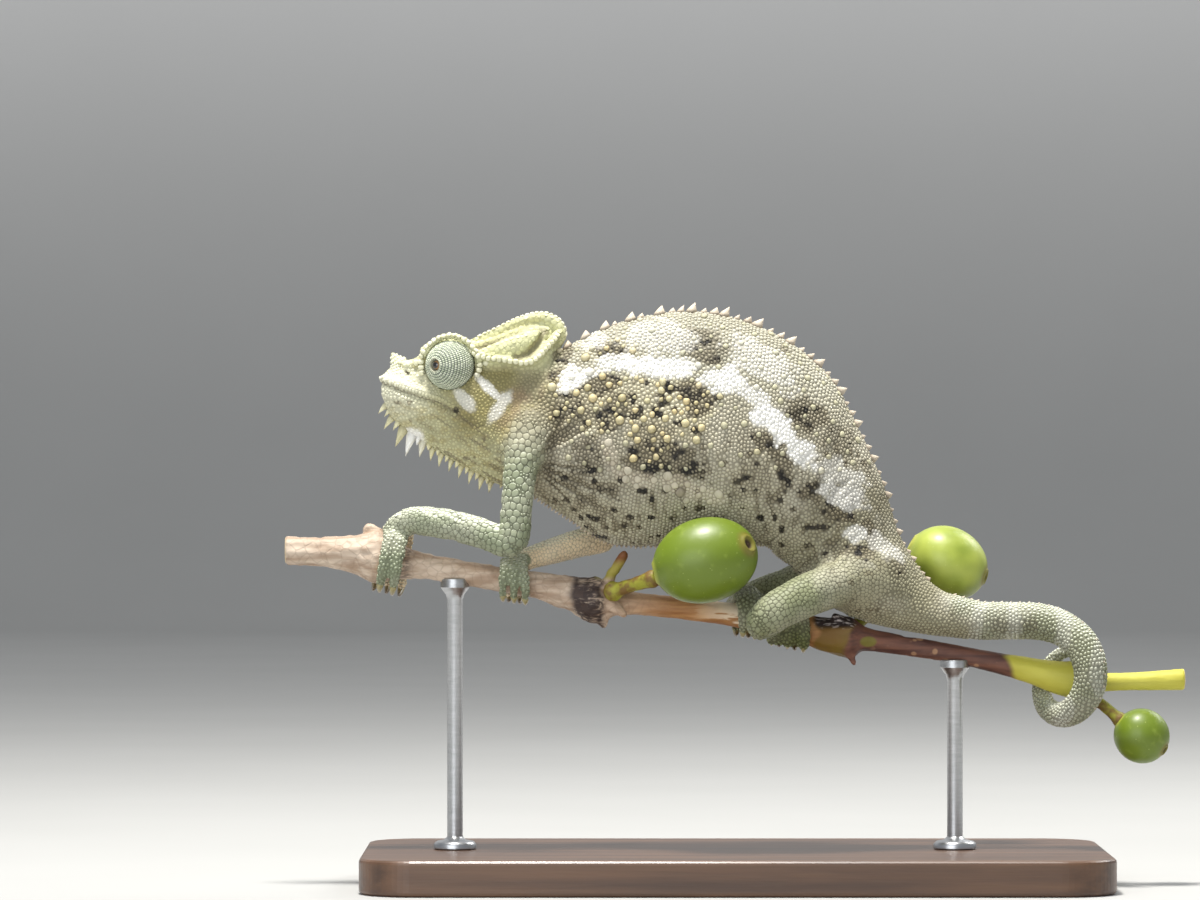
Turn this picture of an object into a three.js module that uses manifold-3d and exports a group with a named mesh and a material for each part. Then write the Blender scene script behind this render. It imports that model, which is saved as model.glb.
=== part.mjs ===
// A life-size display model of a high-casqued mountain chameleon walking along a cut coffee twig.
// Millimetres, +Z up. +X runs from the head to the tail, -Y is the animal's left side,
// and the origin is the middle of the stand's underside.
import * as THREE from "three";
import { mergeVertices } from "three/addons/utils/BufferGeometryUtils.js";
import Module from "manifold-3d";

const wasm = await Module();
wasm.setup();

// ---------------------------------------------------------------- driving dimensions
const GAP = 0.3; // between two neighbouring pieces of flesh
const SNUG = 0.15; // between the stand and what it holds
const LEFT = -1; // the animal's left is -Y
const RIGHT = 1;
const REACH = 200; // larger than the whole model, for the cutting blocks
const DOME = { height: 0.8, ringForward: 0.5, ringShare: 0.72 }; // a round end, as shares of the radius

// Head, neck, body and root of the tail, as sections that each lie in one upright fan plane:
// the back's x and z, the belly's x and z, and half the width.
const BODY = [
  [-26.6, 73.8, -33.6, 57.4, 4.9],
  [-22.6, 76.0, -29.2, 54.9, 5.7],
  [-18.6, 78.0, -23.6, 51.3, 6.9],
  [-13.0, 79.7, -17.3, 47.6, 8.0],
  [-6.3, 80.5, -9.4, 47.3, 8.6],
  [0.8, 79.3, -1.8, 47.8, 8.6],
  [7.9, 76.0, 3.6, 47.4, 8.0],
  [13.6, 71.0, 6.8, 45.2, 6.9],
  [17.3, 64.2, 9.8, 42.5, 5.7],
  [20.8, 56.6, 12.6, 40.0, 4.9],
  [23.3, 48.8, 16.0, 38.1, 4.3],
  [26.4, 43.7, 21.0, 36.4, 3.7],
  [30.0, 40.9, 26.2, 35.0, 3.1],
  [34.3, 39.8, 32.6, 34.3, 2.8],
];
const BODY_ROUND_ABOVE = 1.75; // under 2 makes the back a roof, 2 is an ellipse
const BODY_ROUND_BELOW = 1.9;
const BODY_WIDEST_BELOW_MIDDLE = 0.12; // as a share of half the height

// The skull with the jaw and throat, as upright sections: x, crown z, throat z, half the width.
const SKULL = [
  [-49.1, 71.8, 67.0, 1.5],
  [-48.2, 72.6, 65.3, 2.4],
  [-46.2, 73.2, 63.6, 3.1],
  [-44.1, 73.8, 62.1, 3.6],
  [-42.0, 75.0, 60.8, 4.0],
  [-39.6, 76.4, 59.3, 4.4],
  [-37.0, 76.0, 57.8, 4.8],
  [-34.5, 75.8, 56.5, 5.0],
  [-32.0, 75.8, 55.4, 5.1],
  [-29.5, 75.6, 55.2, 5.1],
  [-26.0, 75.0, 56.2, 4.8],
];
const SNOUT_TIP = [-49.6, 70.1];
const SKULL_ROUND = 2.25;

// The helmet's middle fin: x, top z, half the width where it leaves the skull.
const CASQUE = [
  [-36.6, 76.4, 4.3],
  [-33.0, 78.2, 4.9],
  [-30.0, 79.7, 5.0],
  [-27.0, 80.4, 3.9],
  [-24.9, 79.7, 2.1],
  [-23.8, 78.4, 1.2],
];
const CASQUE_FOOT = 73.5;
const CASQUE_TIP = [-23.3, 77.2];
const CASQUE_ROUND = 1.1;
const CASQUE_BELOW = 3;

// The raised rims of the head on one side: x, distance from the middle plane, z, radius.
const SIDE_RIM = [
  [-36.6, 4.3, 74.4, 0.55],
  [-34.2, 4.9, 73.8, 0.6],
  [-31.4, 5.1, 73.4, 0.6],
  [-29.0, 4.9, 73.2, 0.65],
  [-27.3, 3.9, 74.3, 0.65],
  [-25.6, 2.4, 75.9, 0.65],
  [-24.3, 0.9, 77.5, 0.6],
];
const BROW = [
  [-36.0, 4.6, 71.3, 0.45],
  [-35.8, 4.7, 73.4, 0.5],
  [-36.7, 4.5, 75.2, 0.6],
  [-38.4, 4.2, 76.5, 0.65],
  [-40.2, 3.95, 76.8, 0.65],
  [-41.8, 3.7, 76.3, 0.6],
  [-43.1, 3.4, 75.1, 0.55],
  [-43.8, 3.2, 73.4, 0.45],
  [-43.7, 3.2, 71.7, 0.4],
];
const EYE_ROOF = { at: [-40.0, 2.2, 74.6], half: [4.3, 2.6, 2.0] };
const HORN = [
  [-47.1, 0, 72.2, 1.3],
  [-47.5, 0, 73.5, 1.0],
  [-47.9, 0, 74.3, 0.45],
];

const EYE = { x: -39.8, z: 72.7, fromMiddle: 3.4, radius: 3.45, forward: 40, pupil: 0.85, septum: 0.9 };

// The mouth runs along this line of x and z, and the same cut carries on back to the neck.
const MOUTH = [
  [-52.0, 70.9],
  [-49.2, 70.3],
  [-46.9, 69.3],
  [-44.1, 68.3],
  [-41.3, 67.5],
  [-39.2, 66.3],
  [-37.1, 64.7],
  [-35.4, 63.8],
  [-29.0, 60.6],
  [-20.0, 57.0],
];
const MOUTH_WIDTH = 0.3;

// Planes that part the body: a point on the back and a point on the belly.
const NAPE_CUT = [-23.0, 77.9, -33.4, 56.6];
const SHOULDER_CUT = [-18.2, 79.0, -28.2, 53.0];
const VENT_CUT = [24.4, 46.6, 18.6, 36.0];

// The tail past its root: x, y, z, radius.
const TAIL = [
  [33.75, 0.0, 37.05, 2.75],
  [38.5, 0.0, 37.0, 2.75],
  [42.4, -0.6, 36.9, 2.7],
  [45.6, -2.3, 36.0, 2.6],
  [48.1, -4.4, 33.9, 2.55],
  [49.3, -5.4, 30.8, 2.5],
  [49.1, -5.2, 27.6, 2.4],
  [47.6, -3.9, 25.0, 2.2],
  [45.5, -1.4, 23.9, 1.9],
  [43.7, 1.4, 24.9, 1.65],
  [43.1, 3.4, 27.6, 1.4],
  [44.2, 3.7, 30.6, 1.2],
  [46.0, 2.6, 32.4, 1.0],
  [48.1, 0.9, 32.7, 0.8],
  [49.7, -0.9, 32.2, 0.6],
];
const TAIL_CUTS = [3.2, 7.5, 10.6]; // where it is parted, counted in the stations above

// Arms and legs: shoulder or hip, elbow or knee, wrist or ankle, each x, y, z, radius.
const LEFT_ARM = [
  [-28.6, -4.6, 64.0, 2.6],
  [-29.9, -6.6, 58.5, 2.5],
  [-30.5, -7.8, 52.8, 2.3],
  [-31.2, -7.9, 48.3, 2.35],
  [-35.2, -6.6, 49.3, 2.25],
  [-40.4, -4.6, 50.6, 2.3],
  [-44.8, -2.6, 51.0, 2.15],
  [-47.2, -1.4, 49.9, 1.9],
];
const RIGHT_ARM = [
  [-25.5, 4.6, 61.5, 2.6],
  [-22.6, 7.2, 56.0, 2.5],
  [-19.0, 8.8, 52.2, 2.15],
  [-18.2, 8.6, 48.7, 2.1],
  [-21.7, 6.4, 47.8, 2.15],
  [-25.2, 3.9, 46.8, 2.0],
  [-28.6, 1.9, 45.8, 1.75],
  [-30.4, 1.0, 45.2, 1.65],
];
const LEFT_LEG = [
  [19.5, -1.6, 43.2, 3.4],
  [14.6, -5.0, 42.4, 3.3],
  [9.0, -8.6, 40.4, 3.1],
  [4.6, -10.6, 38.0, 2.8],
  [3.6, -9.9, 36.2, 2.6],
  [5.2, -6.6, 36.6, 2.3],
  [6.8, -3.4, 38.3, 2.1],
  [7.5, -1.4, 38.9, 2.0],
];
const RIGHT_LEG = [
  [19.0, 1.6, 43.2, 3.4],
  [13.6, 5.0, 42.8, 3.3],
  [7.6, 8.8, 41.4, 3.0],
  [2.6, 10.4, 39.6, 2.7],
  [1.0, 9.6, 38.4, 2.5],
  [1.2, 6.4, 38.6, 2.2],
  [1.7, 3.2, 39.7, 2.0],
  [1.9, 1.4, 40.2, 1.9],
];
const UPPER_STATION = 3.0; // the elbow or knee, counted in the stations above
const KNEE = { thighEnd: 3.1, shinStart: 4.1 }; // a leg folds so far that its halves end apart, in round ends
const LOWER_STATION = 6.6; // the wrist or ankle

// Feet: where on the twig, which side the two-toed bundle is on, and the toes' size.
const LEFT_HAND = { x: -48.0, outer: LEFT, outerToes: 2, pitch: 1.8, toe: 0.85, slant: 0.9 };
const RIGHT_HAND = { x: -30.9, outer: RIGHT, outerToes: 2, pitch: 1.56, toe: 0.75, slant: 0 };
const LEFT_FOOT = { x: 7.5, outer: LEFT, outerToes: 3, pitch: 2.05, toe: 1.0, slant: 0 };
const RIGHT_FOOT = { x: 1.9, outer: RIGHT, outerToes: 3, pitch: 1.7, toe: 0.82, slant: 0 };
const STRAP_END = 94; // degrees round the twig from straight up, where the toes part
const TOE_END = 141;
const CLAW_GAP = 7;
const CLAW_END = 168;
const CLAW_SHARE = 0.62; // of the toe's radius
const CLAW_TIP = 0.27;
const TOE_SHARE = 0.92; // of the strap's half thickness
const GRIP_GAP = 0.4; // between the toes and the twig

// The coffee twig: x, y, z, radius. The thick stations are its nodes.
const TWIG = [
  [-63.0, 0.3, 46.9, 2.0],
  [-58.0, 0.2, 46.7, 2.1],
  [-53.2, 0.1, 46.3, 2.7],
  [-50.3, 0.0, 46.0, 3.6],
  [-47.8, 0.0, 45.3, 2.7],
  [-44.5, 0.0, 44.8, 1.9],
  [-39.9, 0.0, 44.0, 1.7],
  [-34.3, 0.0, 43.0, 1.7],
  [-27.3, 0.0, 41.9, 1.95],
  [-22.4, 0.0, 40.7, 2.5],
  [-19.3, 0.0, 39.8, 3.2],
  [-16.4, 0.0, 39.6, 1.9],
  [-10.5, 0.0, 39.1, 1.55],
  [0.0, 0.0, 37.8, 1.65],
  [7.7, 0.0, 36.4, 1.85],
  [12.6, 0.0, 35.1, 2.4],
  [15.8, 0.0, 34.7, 2.7],
  [18.6, 0.0, 34.4, 1.6],
  [23.1, 0.1, 33.6, 1.4],
  [28.7, 0.2, 32.7, 1.35],
  [34.3, 0.3, 31.6, 1.4],
  [39.9, 0.2, 30.4, 1.7],
  [44.1, 0.0, 29.3, 2.2],
  [47.2, 0.0, 28.7, 2.55],
  [50.6, 0.0, 28.4, 1.5],
  [55.3, 0.0, 28.5, 1.3],
  [63.0, 0.2, 28.8, 1.5],
];
const STUBS = [
  { base: [-18.4, -1.4, 41.2], tip: [-15.4, -4.6, 46.4], radius: 0.85 },
  { base: [-18.8, -0.4, 37.6], tip: [-18.0, -0.6, 35.6], radius: 0.75 },
  { base: [15.6, -0.6, 32.8], tip: [16.6, -0.8, 30.6], radius: 0.6 },
];
const CHERRIES = {
  cherry_under_belly: {
    at: [-4.3, -9.2, 45.6],
    half: [7.5, 5.7, 6.0],
    tilt: 14,
    stalk: [[-17.2, -3.6, 41.0], [-14.4, -5.2, 42.1], [-11.0, -7.4, 43.0]],
    stalkRadius: 1.15,
  },
  cherry_behind_tail: {
    at: [30.2, 9.4, 44.9],
    half: [6.0, 5.3, 5.2],
    tilt: -30,
    stalk: [[15.8, 1.8, 35.4], [20.4, 5.2, 39.0], [25.8, 8.2, 46.0]],
    stalkRadius: 0.9,
  },
  cherry_small: {
    at: [56.9, -0.4, 20.9],
    half: [4.0, 3.9, 3.9],
    tilt: -35,
    stalk: [[48.4, 0.0, 27.2], [51.2, -0.1, 25.4], [54.2, -0.3, 22.8]],
    stalkRadius: 0.95,
  },
};

// The stand: where each rod stands along X, and a rod's foot collar and the saddle under the twig.
const BASE = { length: 104, width: 52, height: 5, corner: 8, bevel: 0.6 };
const RODS = { stand_rod_front: -39.2, stand_rod_rear: 30.8 };
const ROD = {
  radius: 1.1,
  sunk: 3,
  collar: 3.0,
  collarHeight: 1.2,
  saddle: 2.1,
  saddleDrop: 0.6,
  saddleFlare: 1.4,
};

// Spines along the back, in groups of a large one with a smaller one before it, between two
// stations of the body. They shrink towards the tail, where the smaller ones give out.
const BACK_SPINES = {
  first: 0.1,
  last: 11.2,
  groups: 15,
  tall: 1.6,
  radius: 0.72,
  sizes: [1, 0.68],
  apart: 0.26,
  lean: 0.45,
  root: 0.55,
  shrinkFrom: 0.45,
  shrinkTo: 0.5,
  smallUntil: 0.6,
};
// Spines under the throat: x, z, length and how far the tip leans back.
const THROAT_SPINES = [
  [-48.7, 67.2, 1.5, -2.6],
  [-48.2, 65.3, 1.9, -2.0],
  [-46.6, 63.8, 2.0, -1.2],
  [-45.2, 62.8, 2.0, -0.9],
  [-43.8, 61.8, 1.9, -0.7],
  [-42.4, 61.0, 1.8, -0.6],
  [-41.1, 60.4, 1.9, -0.6],
  [-39.7, 59.5, 1.7, -0.7],
  [-38.3, 58.7, 1.8, -0.7],
  [-36.9, 57.9, 1.8, -0.7],
  [-35.5, 57.1, 1.9, -0.6],
  [-34.2, 56.5, 1.6, -0.5],
];
const THROAT_SPINE = { radius: 0.5, root: 0.45, lean: 0.35 };

// ---------------------------------------------------------------- solids and cuts
// A closed geometry from points and triangles, turned so that its faces point out.
function closed(points, triangles) {
  const geometry = new THREE.BufferGeometry().setFromPoints(points);
  let volume = 0;
  for (const [a, b, c] of triangles) {
    volume += points[a].dot(points[b].clone().cross(points[c]));
  }
  const facing = volume < 0 ? triangles.map(([a, b, c]) => [a, c, b]) : triangles;
  return geometry.setIndex(facing.flat());
}

function solidOf(geometry) {
  const bare = geometry.clone();
  bare.deleteAttribute("normal");
  bare.deleteAttribute("uv");
  const merged = mergeVertices(bare, 1e-4);
  return new wasm.Manifold(
    new wasm.Mesh({
      numProp: 3,
      vertProperties: merged.attributes.position.array,
      triVerts: new Uint32Array(merged.index.array),
    }),
  );
}

function geometryOf(solid) {
  const { numProp, numVert, vertProperties, triVerts } = solid.getMesh();
  const positions = new Float32Array(numVert * 3);
  for (let i = 0; i < numVert; i += 1) {
    positions.set(vertProperties.subarray(i * numProp, i * numProp + 3), i * 3);
  }
  const geometry = new THREE.BufferGeometry();
  geometry.setAttribute("position", new THREE.BufferAttribute(positions, 3));
  geometry.setIndex(new THREE.BufferAttribute(new Uint32Array(triVerts), 1));
  geometry.computeVertexNormals();
  return geometry;
}

const joined = (solids) => solids.reduce((all, one) => all.add(one));

// The largest piece, without the crumbs that a cut can leave.
function largest(solid) {
  return solid.decompose().reduce((best, one) => (one.volume() > best.volume() ? one : best));
}

// A block that fills everything on the far side of a plane, seen along its normal.
function beyond(point, normal) {
  const block = new THREE.BoxGeometry(REACH, REACH, REACH).toNonIndexed();
  const turn = new THREE.Quaternion().setFromUnitVectors(new THREE.Vector3(0, 0, 1), normal);
  const middle = point.clone().addScaledVector(normal, REACH / 2);
  block.applyMatrix4(new THREE.Matrix4().compose(middle, turn, new THREE.Vector3(1, 1, 1)));
  return solidOf(block);
}

// Parts a solid at a plane: [the side behind it, the side that the normal points to], a gap apart.
function partedAt(solid, point, normal, gap = GAP) {
  const unit = normal.clone().normalize();
  const behind = point.clone().addScaledVector(unit, -gap / 2);
  const ahead = point.clone().addScaledVector(unit, gap / 2);
  return [solid.subtract(beyond(behind, unit)), solid.intersect(beyond(ahead, unit))];
}

// The same, at a plane that holds a point on the back and one on the belly; the normal runs tailwards.
function partedAcross(solid, [backX, backZ, bellyX, bellyZ]) {
  const normal = new THREE.Vector3(backZ - bellyZ, 0, bellyX - backX);
  return partedAt(solid, new THREE.Vector3(backX, 0, backZ), normal);
}

// ---------------------------------------------------------------- lofts
// A row of numbers between the stations of a table, on a uniform Catmull-Rom curve through them.
function between(table, station) {
  const last = table.length - 1;
  const at = Math.min(Math.max(station, 0), last);
  const i = Math.min(Math.floor(at), last - 1);
  const t = at - i;
  const [p1, p2] = [table[i], table[i + 1]];
  const p0 = i > 0 ? table[i - 1] : p1.map((v, k) => 2 * v - p2[k]);
  const p3 = i + 2 <= last ? table[i + 2] : p2.map((v, k) => 2 * v - p1[k]);
  return p1.map((v, k) => {
    const [a, d] = [(p2[k] - p0[k]) / 2, (p3[k] - v) / 2];
    const rise = p2[k] - v;
    return v + t * (a + t * (3 * rise - 2 * a - d + t * (a + d - 2 * rise)));
  });
}

const stationsOf = (from, to, count) =>
  Array.from({ length: count }, (_, i) => from + ((to - from) * i) / (count - 1));

// A ring whose upper and lower halves are superellipses of their own height and roundness.
function ring({ centre, across, up, half, above, below, roundAbove, roundBelow }, sides) {
  return Array.from({ length: sides }, (_, i) => {
    const turn = (2 * Math.PI * i) / sides;
    const [c, s] = [Math.cos(turn), Math.sin(turn)];
    const power = 2 / (c >= 0 ? roundAbove : roundBelow);
    const side = half * Math.sign(s) * Math.abs(s) ** power;
    const rise = (c >= 0 ? above : below) * Math.sign(c) * Math.abs(c) ** power;
    return centre.clone().addScaledVector(across, side).addScaledVector(up, rise);
  });
}

// A closed skin over rings of equally many points, with a pole past each end.
function loft(rings, firstPole, lastPole) {
  const sides = rings[0].length;
  const points = [...rings.flat(), firstPole, lastPole];
  const [first, last] = [points.length - 2, points.length - 1];
  const lastRing = (rings.length - 1) * sides;
  const triangles = [];
  for (let i = 0; i < sides; i += 1) {
    const next = (i + 1) % sides;
    triangles.push([first, next, i], [last, lastRing + i, lastRing + next]);
    for (let r = 0; r + 1 < rings.length; r += 1) {
      const [low, high] = [r * sides, (r + 1) * sides];
      triangles.push([low + i, low + next, high + next], [low + i, high + next, high + i]);
    }
  }
  return solidOf(closed(points, triangles));
}

// The way from a little before a station to as much after it.
function stride(table, station, step) {
  const [ahead, behind] = [step, -step].map((by) => new THREE.Vector3(...between(table, station + by)));
  return ahead.sub(behind);
}

// A round limb along stations of x, y, z and radius; an end is flat or rounded.
function limb(table, { from = 0, to = table.length - 1, steps, sides, grow = 0, round = [true, true] }) {
  const rows = stationsOf(from, to, steps).map((station) => between(table, station));
  const centres = rows.map(([x, y, z]) => new THREE.Vector3(x, y, z));
  const along = stationsOf(from, to, steps).map((station) => stride(table, station, 0.05).normalize());
  const radii = rows.map((row) => row[3] + grow);
  const up = Math.abs(along[0].z) > 0.8 ? new THREE.Vector3(1, 0, 0) : new THREE.Vector3(0, 0, 1);
  const ringAt = (i, forward, share) => {
    const radius = radii[i] * share;
    const centre = centres[i].clone().addScaledVector(along[i], forward * radii[i]);
    up.addScaledVector(along[i], -up.dot(along[i])).normalize();
    const across = up.clone().cross(along[i]);
    const circle = { half: radius, above: radius, below: radius, roundAbove: 2, roundBelow: 2 };
    return ring({ centre, across, up: up.clone(), ...circle }, sides);
  };
  const pole = (i, forward) => centres[i].clone().addScaledVector(along[i], forward * radii[i]);
  const end = steps - 1;
  const rings = round[0] ? [ringAt(0, -DOME.ringForward, DOME.ringShare)] : [];
  for (let i = 0; i < steps; i += 1) rings.push(ringAt(i, 0, 1));
  if (round[1]) rings.push(ringAt(end, DOME.ringForward, DOME.ringShare));
  return loft(rings, pole(0, round[0] ? -DOME.height : 0), pole(end, round[1] ? DOME.height : 0));
}

// ---------------------------------------------------------------- head, neck and body
const ACROSS = new THREE.Vector3(0, 1, 0);

function bodySection(station, grow = 0) {
  const [backX, backZ, bellyX, bellyZ, half] = between(BODY, station);
  const back = new THREE.Vector3(backX, 0, backZ);
  const belly = new THREE.Vector3(bellyX, 0, bellyZ);
  const height = back.distanceTo(belly) / 2;
  const up = back.clone().sub(belly).normalize();
  const drop = BODY_WIDEST_BELOW_MIDDLE * height;
  const centre = back.clone().add(belly).divideScalar(2).addScaledVector(up, -drop);
  return {
    centre,
    across: ACROSS,
    up,
    half: half + grow,
    above: height + drop + grow,
    below: height - drop + grow,
    roundAbove: BODY_ROUND_ABOVE,
    roundBelow: BODY_ROUND_BELOW,
  };
}

function bodyLoft(grow = 0) {
  const last = BODY.length - 1;
  const sections = stationsOf(0, last, 18).map((station) => bodySection(station, grow));
  const rings = sections.map((section) => ring(section, 16));
  return loft(rings, sections[0].centre, sections[sections.length - 1].centre);
}

function skullLoft(grow = 0) {
  const sections = stationsOf(0, SKULL.length - 1, 12).map((station) => {
    const [x, crown, throat, half] = between(SKULL, station);
    const height = (crown - throat) / 2 + grow;
    return {
      centre: new THREE.Vector3(x, 0, (crown + throat) / 2),
      across: ACROSS,
      up: new THREE.Vector3(0, 0, 1),
      half: half + grow,
      above: height,
      below: height,
      roundAbove: SKULL_ROUND,
      roundBelow: SKULL_ROUND,
    };
  });
  const tip = new THREE.Vector3(SNOUT_TIP[0] - grow, 0, SNOUT_TIP[1]);
  return loft(sections.map((section) => ring(section, 12)), tip, sections[sections.length - 1].centre);
}

function casqueLoft() {
  const rings = stationsOf(0, CASQUE.length - 1, 7).map((station) => {
    const [x, top, half] = between(CASQUE, station);
    const centre = new THREE.Vector3(x, 0, CASQUE_FOOT);
    const above = top - CASQUE_FOOT;
    const shape = { half, above, below: CASQUE_BELOW, roundAbove: CASQUE_ROUND, roundBelow: 1.6 };
    return ring({ centre, across: ACROSS, up: new THREE.Vector3(0, 0, 1), ...shape }, 10);
  });
  const front = rings[0].reduce((sum, p) => sum.add(p), new THREE.Vector3()).divideScalar(10);
  return loft(rings, front, new THREE.Vector3(CASQUE_TIP[0], 0, CASQUE_TIP[1]));
}

// The swelling of the skull that carries the brow over each eye.
function eyeRoof(side) {
  const [x, away, z] = EYE_ROOF.at;
  return solidOf(new THREE.SphereGeometry(1, 8, 5).scale(...EYE_ROOF.half).translate(x, side * away, z));
}

const onSide = (table, side) => table.map(([x, away, z, radius]) => [x, side * away, z, radius]);

// A pointed scale standing on the skin.
function spine(foot, direction, height, radius) {
  const cone = new THREE.ConeGeometry(radius, height, 4);
  const upright = new THREE.Vector3(0, 1, 0);
  const turn = new THREE.Quaternion().setFromUnitVectors(upright, direction.clone().normalize());
  cone.translate(0, height / 2, 0).applyQuaternion(turn).translate(foot.x, foot.y, foot.z);
  return solidOf(cone);
}

function backSpines() {
  const { first, last, groups, tall, radius, sizes, apart, lean, root } = BACK_SPINES;
  const { shrinkFrom, shrinkTo, smallUntil } = BACK_SPINES;
  return stationsOf(first, last, groups).flatMap((station, g) => {
    const share = g / (groups - 1);
    const shrink = Math.max(0, share - shrinkFrom) / (1 - shrinkFrom);
    const height = tall * (1 - shrinkTo * shrink);
    return (share < smallUntil ? sizes : [1]).map((size, k) => {
      const { centre, up, above } = bodySection(station - k * apart);
      const tailwards = new THREE.Vector3(up.z, 0, -up.x);
      const foot = centre.clone().addScaledVector(up, above - root);
      return spine(foot, up.clone().addScaledVector(tailwards, lean), (height + root) * size, radius * size);
    });
  });
}

function throatSpines() {
  const { radius, root, lean } = THROAT_SPINE;
  return THROAT_SPINES.map(([x, z, length, slant]) => {
    const direction = new THREE.Vector3(slant * lean, 0, -1);
    return spine(new THREE.Vector3(x, 0, z + root), direction, length + root, radius);
  });
}

function eyeSocketAxis(side) {
  const turn = THREE.MathUtils.degToRad(EYE.forward);
  return new THREE.Vector3(-Math.sin(turn), side * Math.cos(turn), 0);
}

// The turret is a ball of lid skin with a small hole, and the eyeball shows in the hole.
// Inside the head both turrets stop short of the bone between them.
function eyeSolids(side) {
  const middle = new THREE.Vector3(EYE.x, side * EYE.fromMiddle, EYE.z);
  const turn = new THREE.Quaternion().setFromUnitVectors(new THREE.Vector3(0, 1, 0), eyeSocketAxis(side));
  const place = (geometry) => solidOf(geometry.applyQuaternion(turn).translate(middle.x, middle.y, middle.z));
  const sphere = (radius) => new THREE.SphereGeometry(radius, 10, 7);
  const clearOfSeptum = (solid, gap) => {
    const wall = new THREE.Vector3(0, side * (EYE.septum / 2 + gap), 0);
    return solid.intersect(beyond(wall, new THREE.Vector3(0, side, 0)));
  };
  const hole = new THREE.CylinderGeometry(EYE.pupil, EYE.pupil, 4, 7).translate(0, EYE.radius, 0);
  const ball = new THREE.SphereGeometry(EYE.pupil - 0.12, 7, 5).translate(0, EYE.radius - 0.9, 0);
  return {
    turret: clearOfSeptum(place(sphere(EYE.radius)), GAP).subtract(place(hole)),
    ball: place(ball),
    socket: clearOfSeptum(place(sphere(EYE.radius + GAP)), 0),
  };
}

// A thin bent wall along the mouth line, all the way through the head.
function mouthCutter() {
  const upper = MOUTH.map(([x, z]) => new THREE.Vector2(x, z + MOUTH_WIDTH / 2));
  const lower = MOUTH.map(([x, z]) => new THREE.Vector2(x, z - MOUTH_WIDTH / 2)).reverse();
  const outline = new THREE.Shape([...upper, ...lower]);
  const wall = new THREE.ExtrudeGeometry(outline, { depth: 30, bevelEnabled: false });
  return solidOf(wall.rotateX(Math.PI / 2).translate(0, 15, 0));
}

const solids = {};
const eyes = { left: eyeSolids(LEFT), right: eyeSolids(RIGHT) };
const horn = limb(HORN, { steps: 3, sides: 6 });
const hornRoom = limb(HORN, { steps: 3, sides: 6, grow: GAP });

const flesh = joined([
  bodyLoft(),
  skullLoft(),
  casqueLoft(),
  ...[LEFT, RIGHT].map((side) => limb(onSide(SIDE_RIM, side), { steps: 6, sides: 4 })),
  ...[LEFT, RIGHT].map((side) => limb(onSide(BROW, side), { steps: 5, sides: 3 })),
  ...[LEFT, RIGHT].map(eyeRoof),
  ...backSpines(),
  ...throatSpines(),
]).subtract(joined([hornRoom, eyes.left.socket, eyes.right.socket]));

const [wholeHead, behindHead] = partedAcross(flesh, NAPE_CUT);
const headPieces = wholeHead.subtract(mouthCutter()).decompose();
headPieces.sort((a, b) => b.volume() - a.volume());
headPieces.length = 2;
headPieces.sort((a, b) => b.boundingBox().max[2] - a.boundingBox().max[2]);
[solids.head, solids.lower_jaw] = headPieces;
const [neck, behindNeck] = partedAcross(behindHead, SHOULDER_CUT);
const [trunk, tailRoot] = partedAcross(behindNeck, VENT_CUT);
Object.assign(solids, { neck: largest(neck), trunk: largest(trunk), tail_root: largest(tailRoot) });
solids.rostral_horn = horn.subtract(skullLoft());
for (const [name, { turret, ball }] of Object.entries(eyes)) {
  solids[`eye_turret_${name}`] = turret;
  solids[`eyeball_${name}`] = ball;
}

// ---------------------------------------------------------------- tail
const tailNames = ["tail_middle", "tail_bend", "tail_curl", "tail_tip"];
const tailEnds = [0, ...TAIL_CUTS, TAIL.length - 1];
tailNames.forEach((name, i) => {
  const room = GAP / 3.4; // one station of the tail is about 3.4 mm
  const from = i === 0 ? 1.5 * room : tailEnds[i] + room / 2;
  const isTip = i === tailNames.length - 1;
  const to = isTip ? tailEnds[i + 1] : tailEnds[i + 1] - room / 2;
  const steps = Math.round((to - from) * 2) + 1;
  solids[name] = limb(TAIL, { from, to, steps, sides: 8, round: [false, isTip] });
});

// ---------------------------------------------------------------- twig
const twigLoft = (grow = 0) => limb(TWIG, { steps: 27, sides: 7, grow, round: [false, false] });
const twig = joined([
  twigLoft(),
  ...STUBS.map(({ base, tip, radius }) =>
    limb([[...base, radius], [...tip, radius * 0.85]], { steps: 2, sides: 5, round: [false, false] }),
  ),
]);
const twigRoom = twigLoft(GAP);

function twigAt(x) {
  let station = 0;
  while (station < TWIG.length - 1 && between(TWIG, station)[0] < x) station += 0.02;
  const [, y, z, radius] = between(TWIG, station);
  return { y, z, radius };
}

// ---------------------------------------------------------------- arms, legs, toes and claws
const fleshRoom = joined([bodyLoft(GAP), skullLoft(GAP)]);

// The stretch of twig in a foot's grip, as a straight bar as thick as its thickest place.
function heldBar({ x }) {
  const { y, z, radius } = twigAt(x);
  const [before, after] = [twigAt(x - 2.5), twigAt(x + 2.5)];
  const widest = Math.max(before.radius, radius, after.radius);
  return { y, z, radius: widest, slope: (after.z - before.z) / 5 };
}

// A place beside the twig, at an angle round it from straight up, as deep as a toe's middle.
function besideTwig(foot, side, offset, angle) {
  const { y, z, radius, slope } = heldBar(foot);
  const turn = THREE.MathUtils.degToRad(angle);
  const reach = radius + foot.toe + GRIP_GAP;
  const along = offset + foot.slant * Math.cos(turn);
  return [foot.x + along, y + side * Math.sin(turn) * reach, z + along * slope + Math.cos(turn) * reach];
}

// Stations of one toe or claw round the twig, down one side of it and in below.
function grip(foot, side, offset, [fromAngle, toAngle], [startRadius, endRadius], steps) {
  return stationsOf(0, 1, steps).map((share) => [
    ...besideTwig(foot, side, offset, fromAngle + (toAngle - fromAngle) * share),
    startRadius + (endRadius - startRadius) * share,
  ]);
}

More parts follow.
